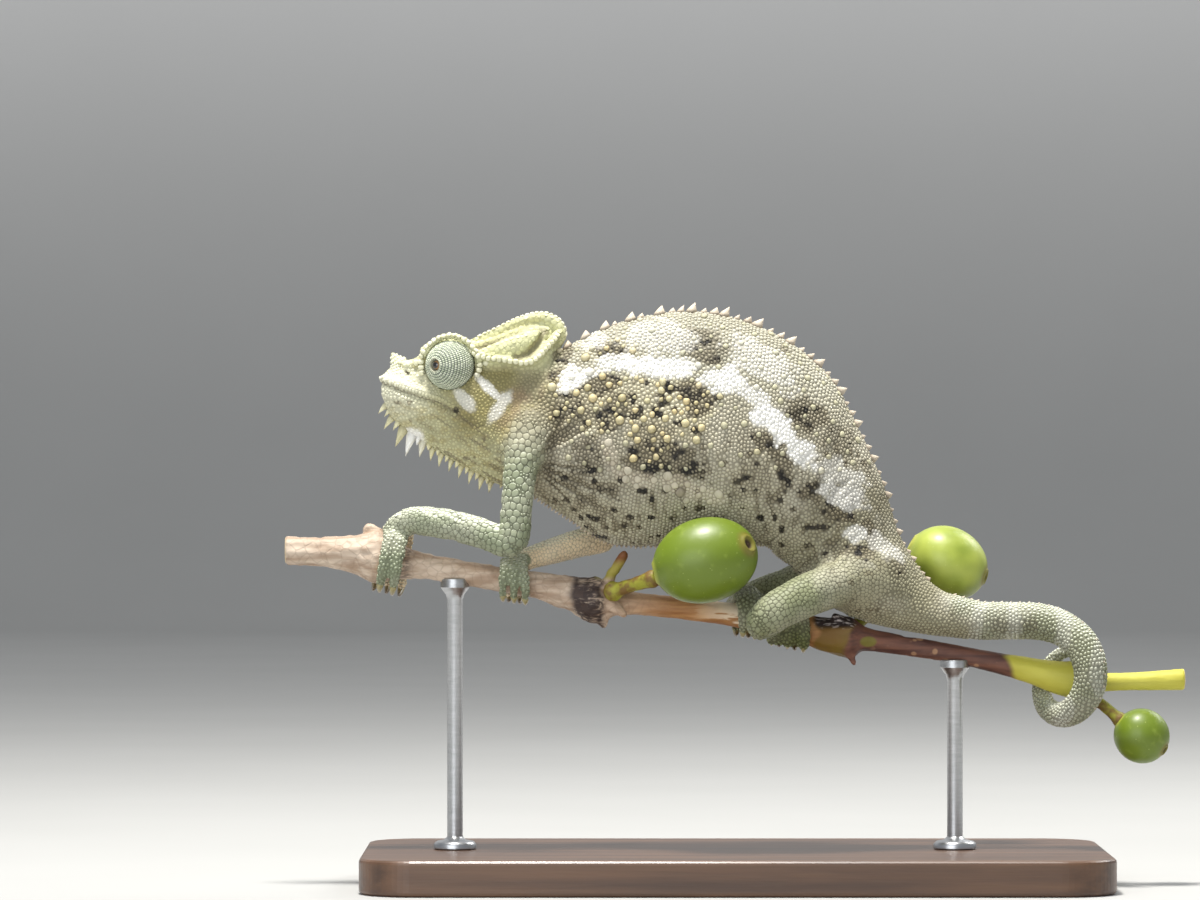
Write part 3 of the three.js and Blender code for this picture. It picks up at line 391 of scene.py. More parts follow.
# ------------------------------------------------------------------ volumes
@dataclass
class Volume:
    """Signed distance on a regular grid, negative inside, with the region that is nearest."""

    low: Point
    high: Point
    cell: float = 0.3
    band: int = 9
    start: Array = field(init=False)
    values: Array = field(init=False)
    regions: Array = field(init=False)

    def __post_init__(self) -> None:
        """Lays out an empty grid."""
        self.start = np.floor(np.array(self.low) / self.cell).astype(int)
        shape = np.ceil(np.array(self.high) / self.cell).astype(int) - self.start + 1
        self.values = np.full(shape, self.band * self.cell, np.float32)
        self.regions = np.zeros(shape, np.int8)

    def sample(self, shell: Shell) -> tuple[tuple[slice, ...], Array]:
        """The distance to a shell near it.

        Args:
            shell: the closed shell.

        Returns:
            The part of the grid that it fills, and the distances there.
        """
        grid = openvdb.FloatGrid.createLevelSetFromPolygons(
            shell.points.astype(np.float32),
            triangles=shell.triangles.astype(np.uint32),
            transform=openvdb.createLinearTransform(voxelSize=self.cell),
            halfWidth=float(self.band),
        )
        margin = self.band + 1
        low = np.floor(shell.points.min(0) / self.cell).astype(int) - margin
        high = np.ceil(shell.points.max(0) / self.cell).astype(int) + margin
        low = np.maximum(low, self.start)
        high = np.minimum(high, self.start + self.values.shape)
        values = np.empty(tuple(high - low), np.float32)
        grid.copyToArray(values, ijk=tuple(int(v) for v in low))
        return tuple(map(slice, low - self.start, high - self.start)), values

    def places(self, part: tuple[slice, ...]) -> Array:
        """Where the grid points of a part are, in mm."""
        axes = [(np.arange(cut.start, cut.stop) + start) * self.cell for cut, start in zip(part, self.start)]
        return np.stack(np.meshgrid(*axes, indexing="ij"), -1)

    def merge(self, part: tuple[slice, ...], new: Array, blend: float | Array, region: Region | None) -> None:
        """Takes the smooth minimum of the distances that are there and new ones.

        Args:
            part: where.
            new: the new distances.
            blend: the fillet's size, in mm, one number or one for each grid point of the part.
            region: what the new form belongs to.
        """
        old, reach = self.values[part], np.maximum(blend, 1e-3)
        share = np.maximum(reach - np.abs(old - new), 0) / reach
        if region is not None:
            self.regions[part][new < old] = region
        self.values[part] = np.minimum(old, new) - share * share * reach / 4

    def weld(self, shell: Shell, blend: float, region: Region | None = None) -> None:
        """Joins a shell to what is there, with a soft fillet."""
        part, values = self.sample(shell)
        self.merge(part, values, blend, region)

    def weld_volume(self, other: "Volume", blend: Callable[[Array], Array], region: Region) -> None:
        """Joins another volume on the same lattice.

        Args:
            other: the volume.
            blend: the fillet's size, from the place.
            region: what the volume belongs to.
        """
        low = other.start - self.start
        part = tuple(map(slice, low, low + other.values.shape))
        self.merge(part, other.values, blend(self.places(part)).astype(np.float32), region)

    def carve(self, shell: Shell, blend: float) -> None:
        """Cuts a shell out of what is there, with a soft edge.

        Args:
            shell: what is taken away.
            blend: the size of the soft edge, in mm.
        """
        part, values = self.sample(shell)
        old, cut = self.values[part], -values
        share = np.maximum(blend - np.abs(old - cut), 0) / blend
        self.values[part] = np.maximum(old, cut) + share * share * blend / 4

    def surface(self, inset: float) -> tuple[Array, Array]:
        """The surface that lies inside the zero one.

        Args:
            inset: how deep, in mm.

        Returns:
            Points in mm and quads.
        """
        grid = openvdb.FloatGrid(self.band * self.cell)
        grid.copyFromArray(self.values, ijk=tuple(int(v) for v in self.start), tolerance=0.0)
        grid.transform = openvdb.createLinearTransform(voxelSize=self.cell)
        grid.gridClass = openvdb.GridClass.LEVEL_SET
        points, quads = grid.convertToQuads(-inset)
        return points.astype(float), quads.astype(int)

    def region_at(self, points: Array) -> Array:
        """The region of each point."""
        index = np.round(points / self.cell).astype(int) - self.start
        return self.regions[tuple(np.clip(index, 0, np.array(self.regions.shape) - 1).T)]


# ------------------------------------------------------------------ the living shape
@dataclass(frozen=True)
class Foot:
    """Where a foot grips the twig, which side has its outer toes, their size and how far round they are fused."""

    x: float
    outer: int
    outer_toes: int
    pitch: float
    toe: float
    slant: float = 0.0
    web: float = 100.0

    def toes(self) -> list[tuple[int, float]]:
        """Each toe's side of the twig and its place across the foot."""
        counts = {self.outer: self.outer_toes, -self.outer: 5 - self.outer_toes}
        return [(side, (i - (counts[side] - 1) / 2) * self.pitch) for side in (-1, 1) for i in range(counts[side])]


@dataclass(frozen=True)
class Limb:
    """An arm or leg: its stations from shoulder or hip to wrist or ankle, its foot and its scales' sizes."""

    name: str
    region: Region
    rows: Rows
    foot: Foot
    scales: tuple[float, ...]

    @property
    def leg(self) -> bool:
        """Whether it is a leg."""
        return self.region >= Region.LEFT_LEG


LEG_SCALES = (0.52, 0.54, 0.6, 0.7, 0.6, 0.5)
LIMBS = (
    Limb("left_arm", Region.LEFT_ARM, (
        (-28.6, -4.6, 64, 2.6), (-29.9, -6.6, 58.5, 2.5), (-30.5, -7.8, 52.8, 2.3), (-31.2, -7.9, 48.3, 2.35),
        (-35.2, -6.6, 49.3, 2.25), (-40.4, -4.6, 50.6, 2.3), (-44.8, -2.6, 51, 2.15), (-47.2, -1.4, 49.9, 1.9),
    ), Foot(-48.0, -1, 2, 1.8, 0.85, 0.9, 119.0), (0.9, 1.0, 1.0, 0.86, 0.66, 0.56, 0.5)),
    Limb("right_arm", Region.RIGHT_ARM, (
        (-25.5, 4.6, 61.5, 2.6), (-22.6, 7.2, 56, 2.5), (-19, 8.8, 52.2, 2.15), (-18.2, 8.6, 48.7, 2.1),
        (-21.7, 6.4, 47.8, 2.15), (-25.2, 3.9, 46.8, 2), (-28.6, 1.9, 45.8, 1.75), (-30.4, 1, 45.2, 1.65),
    ), Foot(-30.9, 1, 2, 1.56, 0.75), (0.7, 0.7, 0.56, 0.5, 0.48)),
    Limb("left_leg", Region.LEFT_LEG, (
        (19.5, -1.6, 43.2, 3.4), (14.6, -5, 42.4, 3.3), (9, -8.6, 40.4, 3.1), (4.6, -10.6, 38, 2.8),
        (3.4, -9.9, 36.9, 2.4), (5, -6.6, 37.1, 2.2), (6.8, -3.4, 38.3, 2.1), (7.5, -1.4, 38.9, 2),
    ), Foot(7.3, -1, 3, 2.2, 1.05, web=139.0), LEG_SCALES),
    Limb("right_leg", Region.RIGHT_LEG, (
        (19, 1.6, 43.2, 3.4), (13.6, 5, 42.8, 3.3), (7.6, 8.8, 41.4, 3), (2.6, 10.4, 39.6, 2.7),
        (1, 9.6, 38.4, 2.5), (1.2, 6.4, 38.6, 2.2), (1.7, 3.2, 39.7, 2), (1.9, 1.4, 40.2, 1.9),
    ), Foot(1.9, 1, 3, 1.7, 0.82), LEG_SCALES),
)
TOE_END = 141.0
CLAW_END = 170.0
GRIP_GAP = 0.4
SPACE = ((-52.0, -15.5, 20.0), (54.0, 15.5, 83.0))


def twig_at(x: float) -> list[float]:
    """The twig's y, z and radius at x."""
    rows = along_table(TWIG, 1300)
    return [float(np.interp(x, rows[:, 0], rows[:, k])) for k in (1, 2, 3)]


def twig_bar(foot: Foot) -> tuple[float, float, float, float]:
    """The stretch of twig in a foot's grip, as y, z, thickest radius and slope."""
    before, here, after = (twig_at(foot.x + step) for step in (-2.5, 0, 2.5))
    return here[0], here[1], max(before[2], here[2], after[2]), (after[1] - before[1]) / 5


def beside_twig(foot: Foot, side: int, offset: Array, angle: Array, rise: Array | float = 0.0) -> Array:
    """Places round the twig, at angles from straight up, as deep as a toe's middle.

    Args:
        foot: the foot that grips.
        side: -1 for the left of the twig, 1 for the right.
        offset: places along the twig from the foot's middle.
        angle: degrees round the twig from straight up.
        rise: how much further out the places are.

    Returns:
        One point for each angle.
    """
    y, z, radius, slope = twig_bar(foot)
    turn = np.radians(angle)
    reach = radius + foot.toe + GRIP_GAP + rise
    along = offset + foot.slant * np.cos(turn)
    return columns(foot.x + along, y + side * np.sin(turn) * reach, z + along * slope + np.cos(turn) * reach)


def body_section(stations: Array) -> tuple[Array, Array, Array, Array, Array]:
    """The body's sections.

    Args:
        stations: places along the body's table, counted in rows.

    Returns:
        Centre, up direction, half width, height above and depth below, for each station.
    """
    back_x, back_z, belly_x, belly_z, half = catmull(BODY, stations).T
    back, belly = columns(back_x, 0, back_z), columns(belly_x, 0, belly_z)
    height = np.linalg.norm(back - belly, axis=1) / 2
    up = unit(back - belly)
    drop = 0.12 * height
    return (back + belly) / 2 - up * drop[:, None], up, half, height + drop, height - drop


def body_rings(stations: Array, sides: int) -> Array:
    """Rings of points around the body at stations."""
    centre, up, half, above, below = body_section(stations)
    return ring(centre, np.tile(ACROSS, (len(stations), 1)), up, (half, above, below), (1.75, 1.9), sides)


@dataclass
class Flesh:
    """The animal's flesh, welded from named forms into one volume."""

    cell: float = 0.3

    def body(self) -> Shell:
        """Neck, trunk and the root of the tail.

        Returns:
            The closed shell.
        """
        stations = np.linspace(0, len(BODY) - 1, 80)
        centre = body_section(stations)[0]
        return loft(body_rings(stations, 64), centre[0], centre[-1])

    def skull(self) -> Shell:
        """Skull, jaw and throat.

        Returns:
            The closed shell.
        """
        x, crown, throat, half = along_table(SKULL, 44).T
        centre, height = columns(x, 0, (crown + throat) / 2), (crown - throat) / 2
        axes = (np.tile(way, (44, 1)) for way in (ACROSS, UP))
        rings = ring(centre, *axes, (half, height, height), (2.25, 2.25), 48)
        return loft(rings, np.array([-49.6, 0, 70.0]), centre[-1])

    def casque(self) -> Shell:
        """The helmet's middle fin.

        Returns:
            The closed shell.
        """
        x, top, half = along_table(CASQUE, 24).T
        axes = (np.tile(way, (24, 1)) for way in (ACROSS, UP))
        rings = ring(columns(x, 0, 73.5), *axes, (half, top - 73.5, 0 * x + 3.0), (1.1, 1.6), 40)
        return loft(rings, None, np.array([-24.3, 0, 76.4]))

    def head(self) -> Volume:
        """The head with its helmet, rims, brows, lips, cheeks and eye sockets.

        Returns:
            The head's own volume.
        """
        head = Volume((-52, -9, 52), (-20, 9, 83), self.cell)
        head.weld(self.skull(), 0.1)
        head.weld(self.casque(), 0.8)
        head.weld(tube(spaced(CREST, 0.5)), 0.5)
        head.weld(tube(spaced(BRIDGE, 0.5)), 0.7)
        for side in (-1, 1):
            head.weld(tube(spaced(on_side(TEMPLE, side), 0.6)), 0.9)
            head.weld(ball((-40.0, side * 2.2, 74.6), (4.3, 2.6, 2.0)), 0.8)
            head.weld(ball((-36.2, side * 3.3, 68.2), (4.2, 1.9, 3.4)), 1.2)
            head.weld(ball((-33.0, side * 4.0, 63.2), (3.8, 1.6, 4.2), -0.3), 1.4)
            for rows, blend in ((SIDE_RIM, 0.5), (BROW, 0.5), (CANTHUS, 0.7), (UPPER_LIP, 0.7), (JAW, 1.2)):
                head.weld(tube(spaced(on_side(rows, side), 0.5)), blend)
            eye = (EYE_AT[0], side * EYE_AT[1], EYE_AT[2])
            head.carve(ball(eye, [EYE_RADIUS - 0.14] * 3, sides=36), 0.15)
            head.carve(ball((NOSTRIL[0], side * 2.95, 71.5), (0.42, 0.8, 0.38)), 0.15)
        return head

    def strap(self, foot: Foot) -> Shell:
        """The fused part of the toes, over the twig and down both sides of it.

        Args:
            foot: the foot.

        Returns:
            The closed shell.
        """
        ends = {side: foot.web if foot.outer == side else 100 for side in (-1, 1)}
        angle = np.linspace(-ends[-1], ends[1], 26)
        share = np.clip((angle / 100 + 1) / 2, 0, 1)
        left = foot.outer_toes if foot.outer == -1 else 5 - foot.outer_toes
        toes = left + (5 - 2 * left) * share
        turn = np.radians(angle)
        centre = beside_twig(foot, 1, 0 * turn, angle)
        thin = foot.toe * np.interp(np.abs(angle), (0, 60, 100), (1.05, 0.95, 0.7))
        half = (toes - 1) * foot.pitch / 2 + foot.toe * np.interp(np.abs(angle), (0, 100), (1.15, 0.8))
        up = columns(0, np.sin(turn), np.cos(turn))
        rings = ring(centre, np.tile(AHEAD, (26, 1)), up, (half, thin, thin), (2.6, 2.6), 28)
        return loft(rings, centre[0], centre[-1])

    def limb(self, limb: Limb) -> Volume:
        """A limb with its strap over the twig and its toes down both sides of it.

        Args:
            limb: which one.

        Returns:
            The limb's own volume.
        """
        foot = limb.foot
        y, z, radius, _ = twig_bar(foot)
        reach = np.array([*limb.rows, (foot.x, y, z, radius + 4)], float)[:, :3]
        low, high = np.maximum(reach.min(0) - 7, SPACE[0]), np.minimum(reach.max(0) + 7, SPACE[1])
        volume = Volume(tuple(low), tuple(high), self.cell)
        volume.weld(tube(spaced(limb.rows, 0.8), 28), 0.1)
        wrist = catmull(limb.rows, np.array([6.5, 7.0]))
        palm = np.vstack([wrist, (foot.x + foot.slant, y, z + radius + foot.toe * 1.7, foot.toe * 1.3)])
        volume.weld(tube(spaced(palm, 0.6)), 0.6)
        volume.weld(self.strap(foot), 0.4)
        share = np.linspace(0, 1, 16)
        angle = -18 + (TOE_END + 18) * share
        size = foot.toe * np.interp(share, (0, 0.25, 0.7, 0.9, 1), (0.8, 1.12, 1.1, 0.98, 0.78))
        for side, offset in foot.toes():
            spread = offset * (0.55 + 0.45 * ease(0.2, 0.7, share))
            points = beside_twig(foot, side, spread, angle, size - foot.toe)
            volume.weld(tube(np.column_stack([points, size])), 0.35)
        return volume

    def whole(self) -> Volume:
        """Body, head, tail and limbs in one volume.

        Returns:
            The volume.
        """
        whole = Volume(*SPACE, self.cell)
        whole.weld(self.body(), 0.1, Region.BODY)
        whole.weld_volume(self.head(), lambda p: 0.3 + 1.5 * ease(75, 69, p[..., 2]), Region.HEAD)
        whole.weld(tube(spaced(TAIL, 0.6), 28), 0.5, Region.TAIL)
        for limb in LIMBS:
            root = np.array(limb.rows[0][:3]) + [0, 0, -2.0]
            reach, most = (130, 5.5) if limb.leg else (55, 3.6)
            soft = lambda p, root=root, reach=reach, most=most: (
                0.15 + most * np.exp(-(((p - root) ** 2).sum(-1)) / reach))
            whole.weld_volume(self.limb(limb), soft, limb.region)
        return whole


def distance_to_line(points: Array, line: Rows) -> tuple[Array, Array]:
    """How far points are from a broken line, and how far along it their nearest places are.

    Args:
        points: places in two or three coordinates.
        line: the line's corners.

    Returns:
        The distances, and the places along the line from 0 to 1.
    """
    best, along = np.full(len(points), 1e9), np.zeros(len(points))
    corners = np.array(line)
    for i, (a, b) in enumerate(zip(corners[:-1], corners[1:])):
        t = np.clip(((points - a) @ (b - a)) / ((b - a) @ (b - a)), 0, 1)
        gap = np.linalg.norm(points - a - t[:, None] * (b - a), axis=1)
        nearer = gap < best
        best[nearer], along[nearer] = gap[nearer], (i + t[nearer]) / (len(line) - 1)
    return best, along


class Sheet:
    """A surface of quads drawn from a volume, in mm."""

    def __init__(self, volume: Volume, inset: float, rounds: int) -> None:
        """Draws the surface.

        Args:
            volume: the forms under it.
            inset: how deep it lies inside them.
            rounds: how often the grid's steps are evened out.
        """
        self.volume = volume
        self.points, self.quads = volume.surface(inset)
        self.keep_largest()
        for share in (0.5, -0.52) * rounds:
            self.points = self.points + share * (self.neighbour_mean(self.points) - self.points)
        self.normals = self.vertex_normals()

    def keep_largest(self) -> None:
        """Drops crumbs that are not joined to the animal."""
        parent = np.arange(len(self.points))
        edges = np.concatenate([self.quads[:, [i, (i + 1) % 4]] for i in range(4)])
        while True:
            low = np.minimum(parent[edges[:, 0]], parent[edges[:, 1]])
            fresh = parent.copy()
            for end in (0, 1):
                np.minimum.at(fresh, edges[:, end], low)
            fresh = fresh[fresh]
            if np.array_equal(fresh, parent):
                break
            parent = fresh
        kept = parent == np.bincount(parent).argmax()
        self.quads = (np.cumsum(kept) - 1)[self.quads[kept[self.quads[:, 0]]]]
        self.points = self.points[kept]

    def neighbour_mean(self, values: Array) -> Array:
        """The mean of each point's neighbours' values.

        Args:
            values: rows of numbers, one for each point.

        Returns:
            As many rows.
        """
        total, count = np.zeros_like(values), np.zeros(len(values))
        for i in range(4):
            a, b = self.quads[:, i], self.quads[:, (i + 1) % 4]
            np.add.at(total, a, values[b])
            np.add.at(count, a, 1)
        return total / np.maximum(count, 1)[:, None]

    def vertex_normals(self) -> Array:
        """Outward directions at the points.

        Returns:
            One direction for each point.
        """
        a, b, c, d = (self.points[self.quads[:, i]] for i in range(4))
        total = np.zeros_like(self.points)
        for i in range(4):
            np.add.at(total, self.quads[:, i], np.cross(c - a, d - b))
        normals = unit(total)
        if (normals * (self.points - self.points.mean(0))).sum() < 0:
            normals, self.quads = -normals, self.quads[:, ::-1].copy()
        return normals


class Skin(Sheet):
    """The one skin over all the flesh, and questions about places on it."""

    def __init__(self, flesh: Flesh, inset: float) -> None:
        """Draws the skin, with its folds.

        Args:
            flesh: what is under it.
            inset: how deep it lies inside the flesh's outer form, in mm.
        """
        super().__init__(flesh.whole(), inset, 2)
        self.fold()
        self.normals = self.vertex_normals()
        self.tree = BVHTree.FromPolygons(self.points.tolist(), self.quads.tolist())
        self.weights = self.region_weights()

    def fold(self) -> None:
        """Presses in the mouth line, and raises the folds of neck, armpit and flank."""
        p, normals = self.points, self.vertex_normals()
        x, y, z = p.T
        side_on, away = p[:, [0, 2]], np.abs(y)
        gap, along = distance_to_line(side_on, MOUTH)
        push = -0.22 * (bell(gap, 0.22) * (away > 0.3) * (x < -34.6)) * (1 - 0.5 * along)
        push += 0.14 * bell(gap - 0.65, 0.35) * (x < -37)
        push -= 0.3 * bell(np.hypot(x - NOSTRIL[0], z - NOSTRIL[1]), 0.3) * (away > 0.5)
        neck = ease(-36, -31, x) * ease(-21, -26, x) * ease(55, 60, z) * ease(75, 71, z)
        crease = np.sin((x * 0.66 - z * 0.75) * 2 * np.pi / 1.9 + 1.4 * noise(p, 4.0, 3))
        push += neck * (0.09 * crease * ease(-0.6, 0.5, noise(p, 2.6, 9)) - 0.03)
        push -= 0.25 * bell(distance_to_line(side_on, ARMPIT)[0], 0.9) * ease(3.0, 4.5, away)
        push -= 0.18 * bell(distance_to_line(side_on, GROIN)[0], 0.9) * ease(2.0, 4.0, away)
        for line, deep in HOLLOWS:
            push -= deep * bell(distance_to_line(side_on, line)[0], 0.5) * ease(0.7, 1.4, away)
        flank = ease(-22, -16, x) * ease(22, 14, x) * ease(72, 60, z)
        push += 0.15 * flank * noise(columns(x - 0.25 * z, y * 0.2, z * 0.12), 1.1, 5)
        ahead, above = x - SHOULDER[0], z - SHOULDER[1]
        fan = columns(11 * np.arctan2(above, ahead), 0.24 * np.hypot(ahead, above), 0.2 * y)
        behind = ease(-28, -25.5, x) * ease(-12, -19, x) * ease(50, 53, z) * ease(67, 64, z)
        push -= 0.3 * behind * ease(0.0, 0.45, noise(fan, 1.0, 24))
        jaw = ease(-26, -34, x) * ease(66.5, 64.5, z + 0.55 * (x + 40)) * ease(-48.5, -46, x)
        push -= 0.16 * jaw * ease(0.05, 0.45, noise(jaw_creases(p), 0.75, 18))
        hip = ease(1, 5, x) * ease(20, 14, x) * ease(64, 58, z) * ease(43, 46, z)
        line = columns(0.12 * (x + 1.2 * z), 0.3 * y, 0.7 * (x - z))
        push -= 0.2 * hip * ease(0.05, 0.5, noise(line, 0.7, 26))
        self.depth = -push
        self.points = p + normals * push[:, None]

    def region_weights(self) -> Array:
        """Soft shares of head, limb and tail at each point.

        Returns:
            Three columns from 0 to 1.
        """
        region = self.volume.region_at(self.points)
        weights = columns(region == Region.HEAD, region >= Region.LEFT_ARM, region == Region.TAIL).astype(float)
        for limb in LIMBS:
            away = np.linalg.norm(self.points - np.array(limb.rows[0][:3]), axis=1) + noise(self.points, 2.4, 23)
            soft = 0.3 + 0.7 * ease(2.0, 14.0 if limb.leg else 8.5, away)
            weights[:, 1] *= np.where(region == limb.region, soft, 1)
        for _ in range(30):
            weights = 0.3 * weights + 0.7 * self.neighbour_mean(weights)
        return weights

    def settle(self, points: Array) -> tuple[Array, Array, Array, Array]:
        """Moves points onto the skin.

        Args:
            points: places near it.

        Returns:
            Places on the skin, the outward directions, the nearest skin point's index, and how far
            each place moved.
        """
        found = [self.tree.find_nearest(point) for point in points.tolist()]
        places = np.array([tuple(place) for place, *_ in found])
        corners = self.quads[np.array([face for _, _, face, _ in found])]
        nearest = np.linalg.norm(self.points[corners] - places[:, None], axis=2).argmin(1)
        gaps = np.array([gap for *_, gap in found])
        return places, unit(self.normals[corners].sum(1)), corners[np.arange(len(corners)), nearest], gaps


def jaw_creases(points: Array) -> Array:
    """Places stretched so that noise over them makes the slanting creases of jaw and throat."""
    x, y, z = points.T
    return columns(0.16 * (x * 0.85 - z * 0.53), 0.3 * y, x * 0.53 + z * 0.85)


# ------------------------------------------------------------------ charts of the skin
@dataclass
class Chart:
    """A line through a stretch of the body, for how far along and how far round a place is."""

    centres: Array
    along: Array
    across: Array
    up: Array
    nearness: float

    @classmethod
    def of_body(cls) -> "Chart":
        """The chart of neck, trunk and tail root.

        Returns:
            The chart.
        """
        centre, up, *_ = body_section(np.linspace(0, len(BODY) - 1, 150))
        across = np.tile(ACROSS, (len(centre), 1))
        return cls(centre, np.cross(across, up), across, up, 0.02)

    @classmethod
    def of_line(cls, rows: Array, nearness: float) -> "Chart":
        """The chart of a tube along rows of x, y, z and radius."""
        return cls(rows[:, :3], *frames_along(rows[:, :3], UP), nearness)

    def place(self, points: Array) -> tuple[Array, Array]:
        """Where points are on the chart.

        Args:
            points: places in mm.

        Returns:
            How far along and how far round each is, from 0 to 1.
        """
        index = np.empty(len(points), int)
        for start in range(0, len(points), 4000):
            away = points[start:start + 4000, None] - self.centres
            plane = np.abs((away * self.along).sum(-1))
            index[start:start + 4000] = (plane + self.nearness * np.linalg.norm(away, axis=-1)).argmin(1)
        away = points - self.centres[index]
        on_axis = lambda axis: (away * axis[index]).sum(-1)
        spacing = max(np.linalg.norm(np.diff(self.centres, axis=0), axis=1).mean(), 1e-6)
        turn = np.arctan2(on_axis(self.across), on_axis(self.up))
        step = np.clip(on_axis(self.along) / spacing, -0.5, 0.5)
        return (index + step) / (len(self.centres) - 1), turn / (2 * np.pi) + 0.5


def charts() -> dict[Region, Chart]:
    """A chart for each region of the skin.

    Returns:
        The charts, by region.
    """
    head = np.array([(x, 0, (crown + throat) / 2, 1) for x, crown, throat, _ in SKULL], float)
    found = {
        Region.BODY: Chart.of_body(),
        Region.HEAD: Chart.of_line(spaced(head, 0.3), 0.02),
        Region.TAIL: Chart.of_line(spaced(TAIL, 0.5), 0.4),
    }
    for limb in LIMBS:
        y, z, radius, _ = twig_bar(limb.foot)
        ends = ((limb.foot.x, y, z + radius, 1.5), (limb.foot.x, y, z - radius, 1.0))
        found[limb.region] = Chart.of_line(spaced([*limb.rows, *ends], 0.5), 0.7)
    return found


# ------------------------------------------------------------------ scales
class Form(Enum):
    """The forms of scale: points around it, and rings of (share of the radius, share of the height)."""

    GRANULE = (8, ((0.76, 0.62),))
    PLATE = (10, ((0.95, 0.5), (0.8, 0.88)))
    TILE = (9, ((0.93, 0.5), (0.74, 0.86)))
    KNOB = (12, ((0.9, 0.4), (0.6, 0.82)))
    CONE = (9, ((0.7, 0.3), (0.36, 0.68)))

    @property
    def number(self) -> int:
        """Its place in the list of forms."""
        return list(Form).index(self)


@dataclass
class Scales:
    """Roots of scales on the skin: places, radii in mm, heights, forms and how far the tips lean."""

    places: Array
    radii: Array
    heights: Array
    forms: Array
    leans: Array
    normals: Array | None = None
    nearest: Array | None = None
    regions: Array | None = None

    @classmethod
    def make(cls, places: Array, radii: Array | float, heights: Array | float, form: Form,
             leans: Array | float = 0.0) -> "Scales":
        """Scales of one form.

        Args:
            places: their roots.
            radii: one radius, or one for each.
            heights: one height, or one for each.
            form: their form.
            leans: how far each tip is moved sideways.

        Returns:
            The scales.
        """
        count = len(places)
        sizes = (np.broadcast_to(size, count).astype(float) for size in (radii, heights))
        return cls(places, *sizes, np.full(count, form.number), np.broadcast_to(leans, (count, 3)))

    def each(self, change: Callable[[str], Array]) -> "Scales":
        """Scales whose columns come from a function of the column's name."""
        return Scales(**{name: change(name) for name, values in vars(self).items() if values is not None})

    @classmethod
    def joined(cls, groups: Sequence["Scales"]) -> "Scales":
        """Several groups as one."""
        return groups[0].each(lambda name: np.concatenate([getattr(group, name) for group in groups]))

    def __getitem__(self, chosen: Array) -> "Scales":
        """Some of the scales."""
        return self.each(lambda name: getattr(self, name)[chosen])

    def on(self, skin: Skin, reach: float = 1.2) -> "Scales":
        """The scales moved onto the skin.

        Args:
            skin: what they stand on.
            reach: how far a scale may have moved to be kept, in mm.

        Returns:
            Those that are kept.
        """
        self.places, self.normals, self.nearest, gaps = skin.settle(self.places)
        self.regions = skin.volume.region_at(self.places)
        return self[gaps < reach]


def tree_of(places: Array) -> KDTree:
    """A search tree over places.

    Args:
        places: one for each row.

    Returns:
        The tree, which gives rows by number.
    """
    tree = KDTree(len(places))
    for i, place in enumerate(places.tolist()):
        tree.insert(place, i)
    tree.balance()
    return tree


def without_clashes(scales: Scales, room: float = 0.74) -> Scales:
    """Drops each scale that stands too near an earlier one.

    Args:
        scales: the scales, with the most wanted first.
        room: the least distance, as a share of the two radii.

    Returns:
        The others.
    """
    tree, radii = tree_of(scales.places), scales.radii
    kept = np.ones(len(radii), bool)
    for i, place in enumerate(scales.places.tolist()):
        if kept[i]:
            for _, j, gap in tree.find_range(place, 2 * room * radii[i]):
                if j > i and gap < room * (radii[i] + radii[j]):
                    kept[j] = False
    return scales[kept]


def scatter(skin: Skin, count: int, seed: int) -> Array:
    """Even random places on the skin.

    Args:
        skin: the skin.
        count: how many.
        seed: picks them.

    Returns:
        The places.
    """
    random = np.random.default_rng(seed)
    corners = skin.points[skin.quads]
    areas = np.linalg.norm(np.cross(corners[:, 2] - corners[:, 0], corners[:, 3] - corners[:, 1]), axis=1)
    chosen = random.choice(len(areas), count, p=areas / areas.sum())
    u, v = random.random((2, count, 1))
    a, b, c, d = (corners[chosen, i] for i in range(4))
    return (1 - u) * (1 - v) * a + u * (1 - v) * b + u * v * c + (1 - u) * v * d


def fill_gaps(scales: Scales, skin: Skin, size: Callable[[Array, Array], Array], height: float, seed: int) -> Scales:
    """Puts granules where the skin is bare.

    Args:
        scales: those that are there.
        skin: the skin.
        size: the radius of a granule, from its place and region.
        height: its height as a share of its radius.
        seed: picks the places.

    Returns:
        All the scales.
    """
    for turn, count in enumerate((90000, 60000)):
        places = scatter(skin, count, seed + turn)
        tree = tree_of(scales.places)
        radii = size(places, skin.volume.region_at(places))
        index, gaps = (np.array(part) for part in zip(*(tree.find(place)[1:] for place in places.tolist())))
        bare = gaps > 0.9 * (scales.radii[index] + radii)
        extra = Scales.make(places[bare], radii[bare], height * radii[bare], Form.GRANULE).on(skin)
        scales = without_clashes(Scales.joined([scales, without_clashes(extra, 0.9)]))
    return scales


def neighbours(places: Array, count: int) -> Array:
    """The indices of each place's nearest others."""
    tree = tree_of(places)
    return np.array([[item[1] for item in tree.find_n(place, count + 1)][1:] for place in places.tolist()])


def relax(scales: Scales, skin: Skin, rounds: int, fixed: Array) -> None:
    """Pushes crowded scales apart, so that their cells even out.

    Args:
        scales: the scales.
        skin: what they stand on.
        rounds: how many times.
        fixed: those that keep their places.
    """
    for _ in range(rounds):
        near = neighbours(scales.places, 8)
        away = scales.places[:, None] - scales.places[near]
        gap = np.linalg.norm(away, axis=-1)
        wanted = 0.98 * (scales.radii[:, None] + scales.radii[near])
        push = (np.maximum(wanted - gap, 0) / np.maximum(gap, 1e-6))[..., None] * away
        move = 0.3 * push.sum(1)
        move[fixed] = 0
        scales.places, scales.normals, scales.nearest, _ = skin.settle(scales.places + move)
    scales.regions = skin.volume.region_at(scales.places)


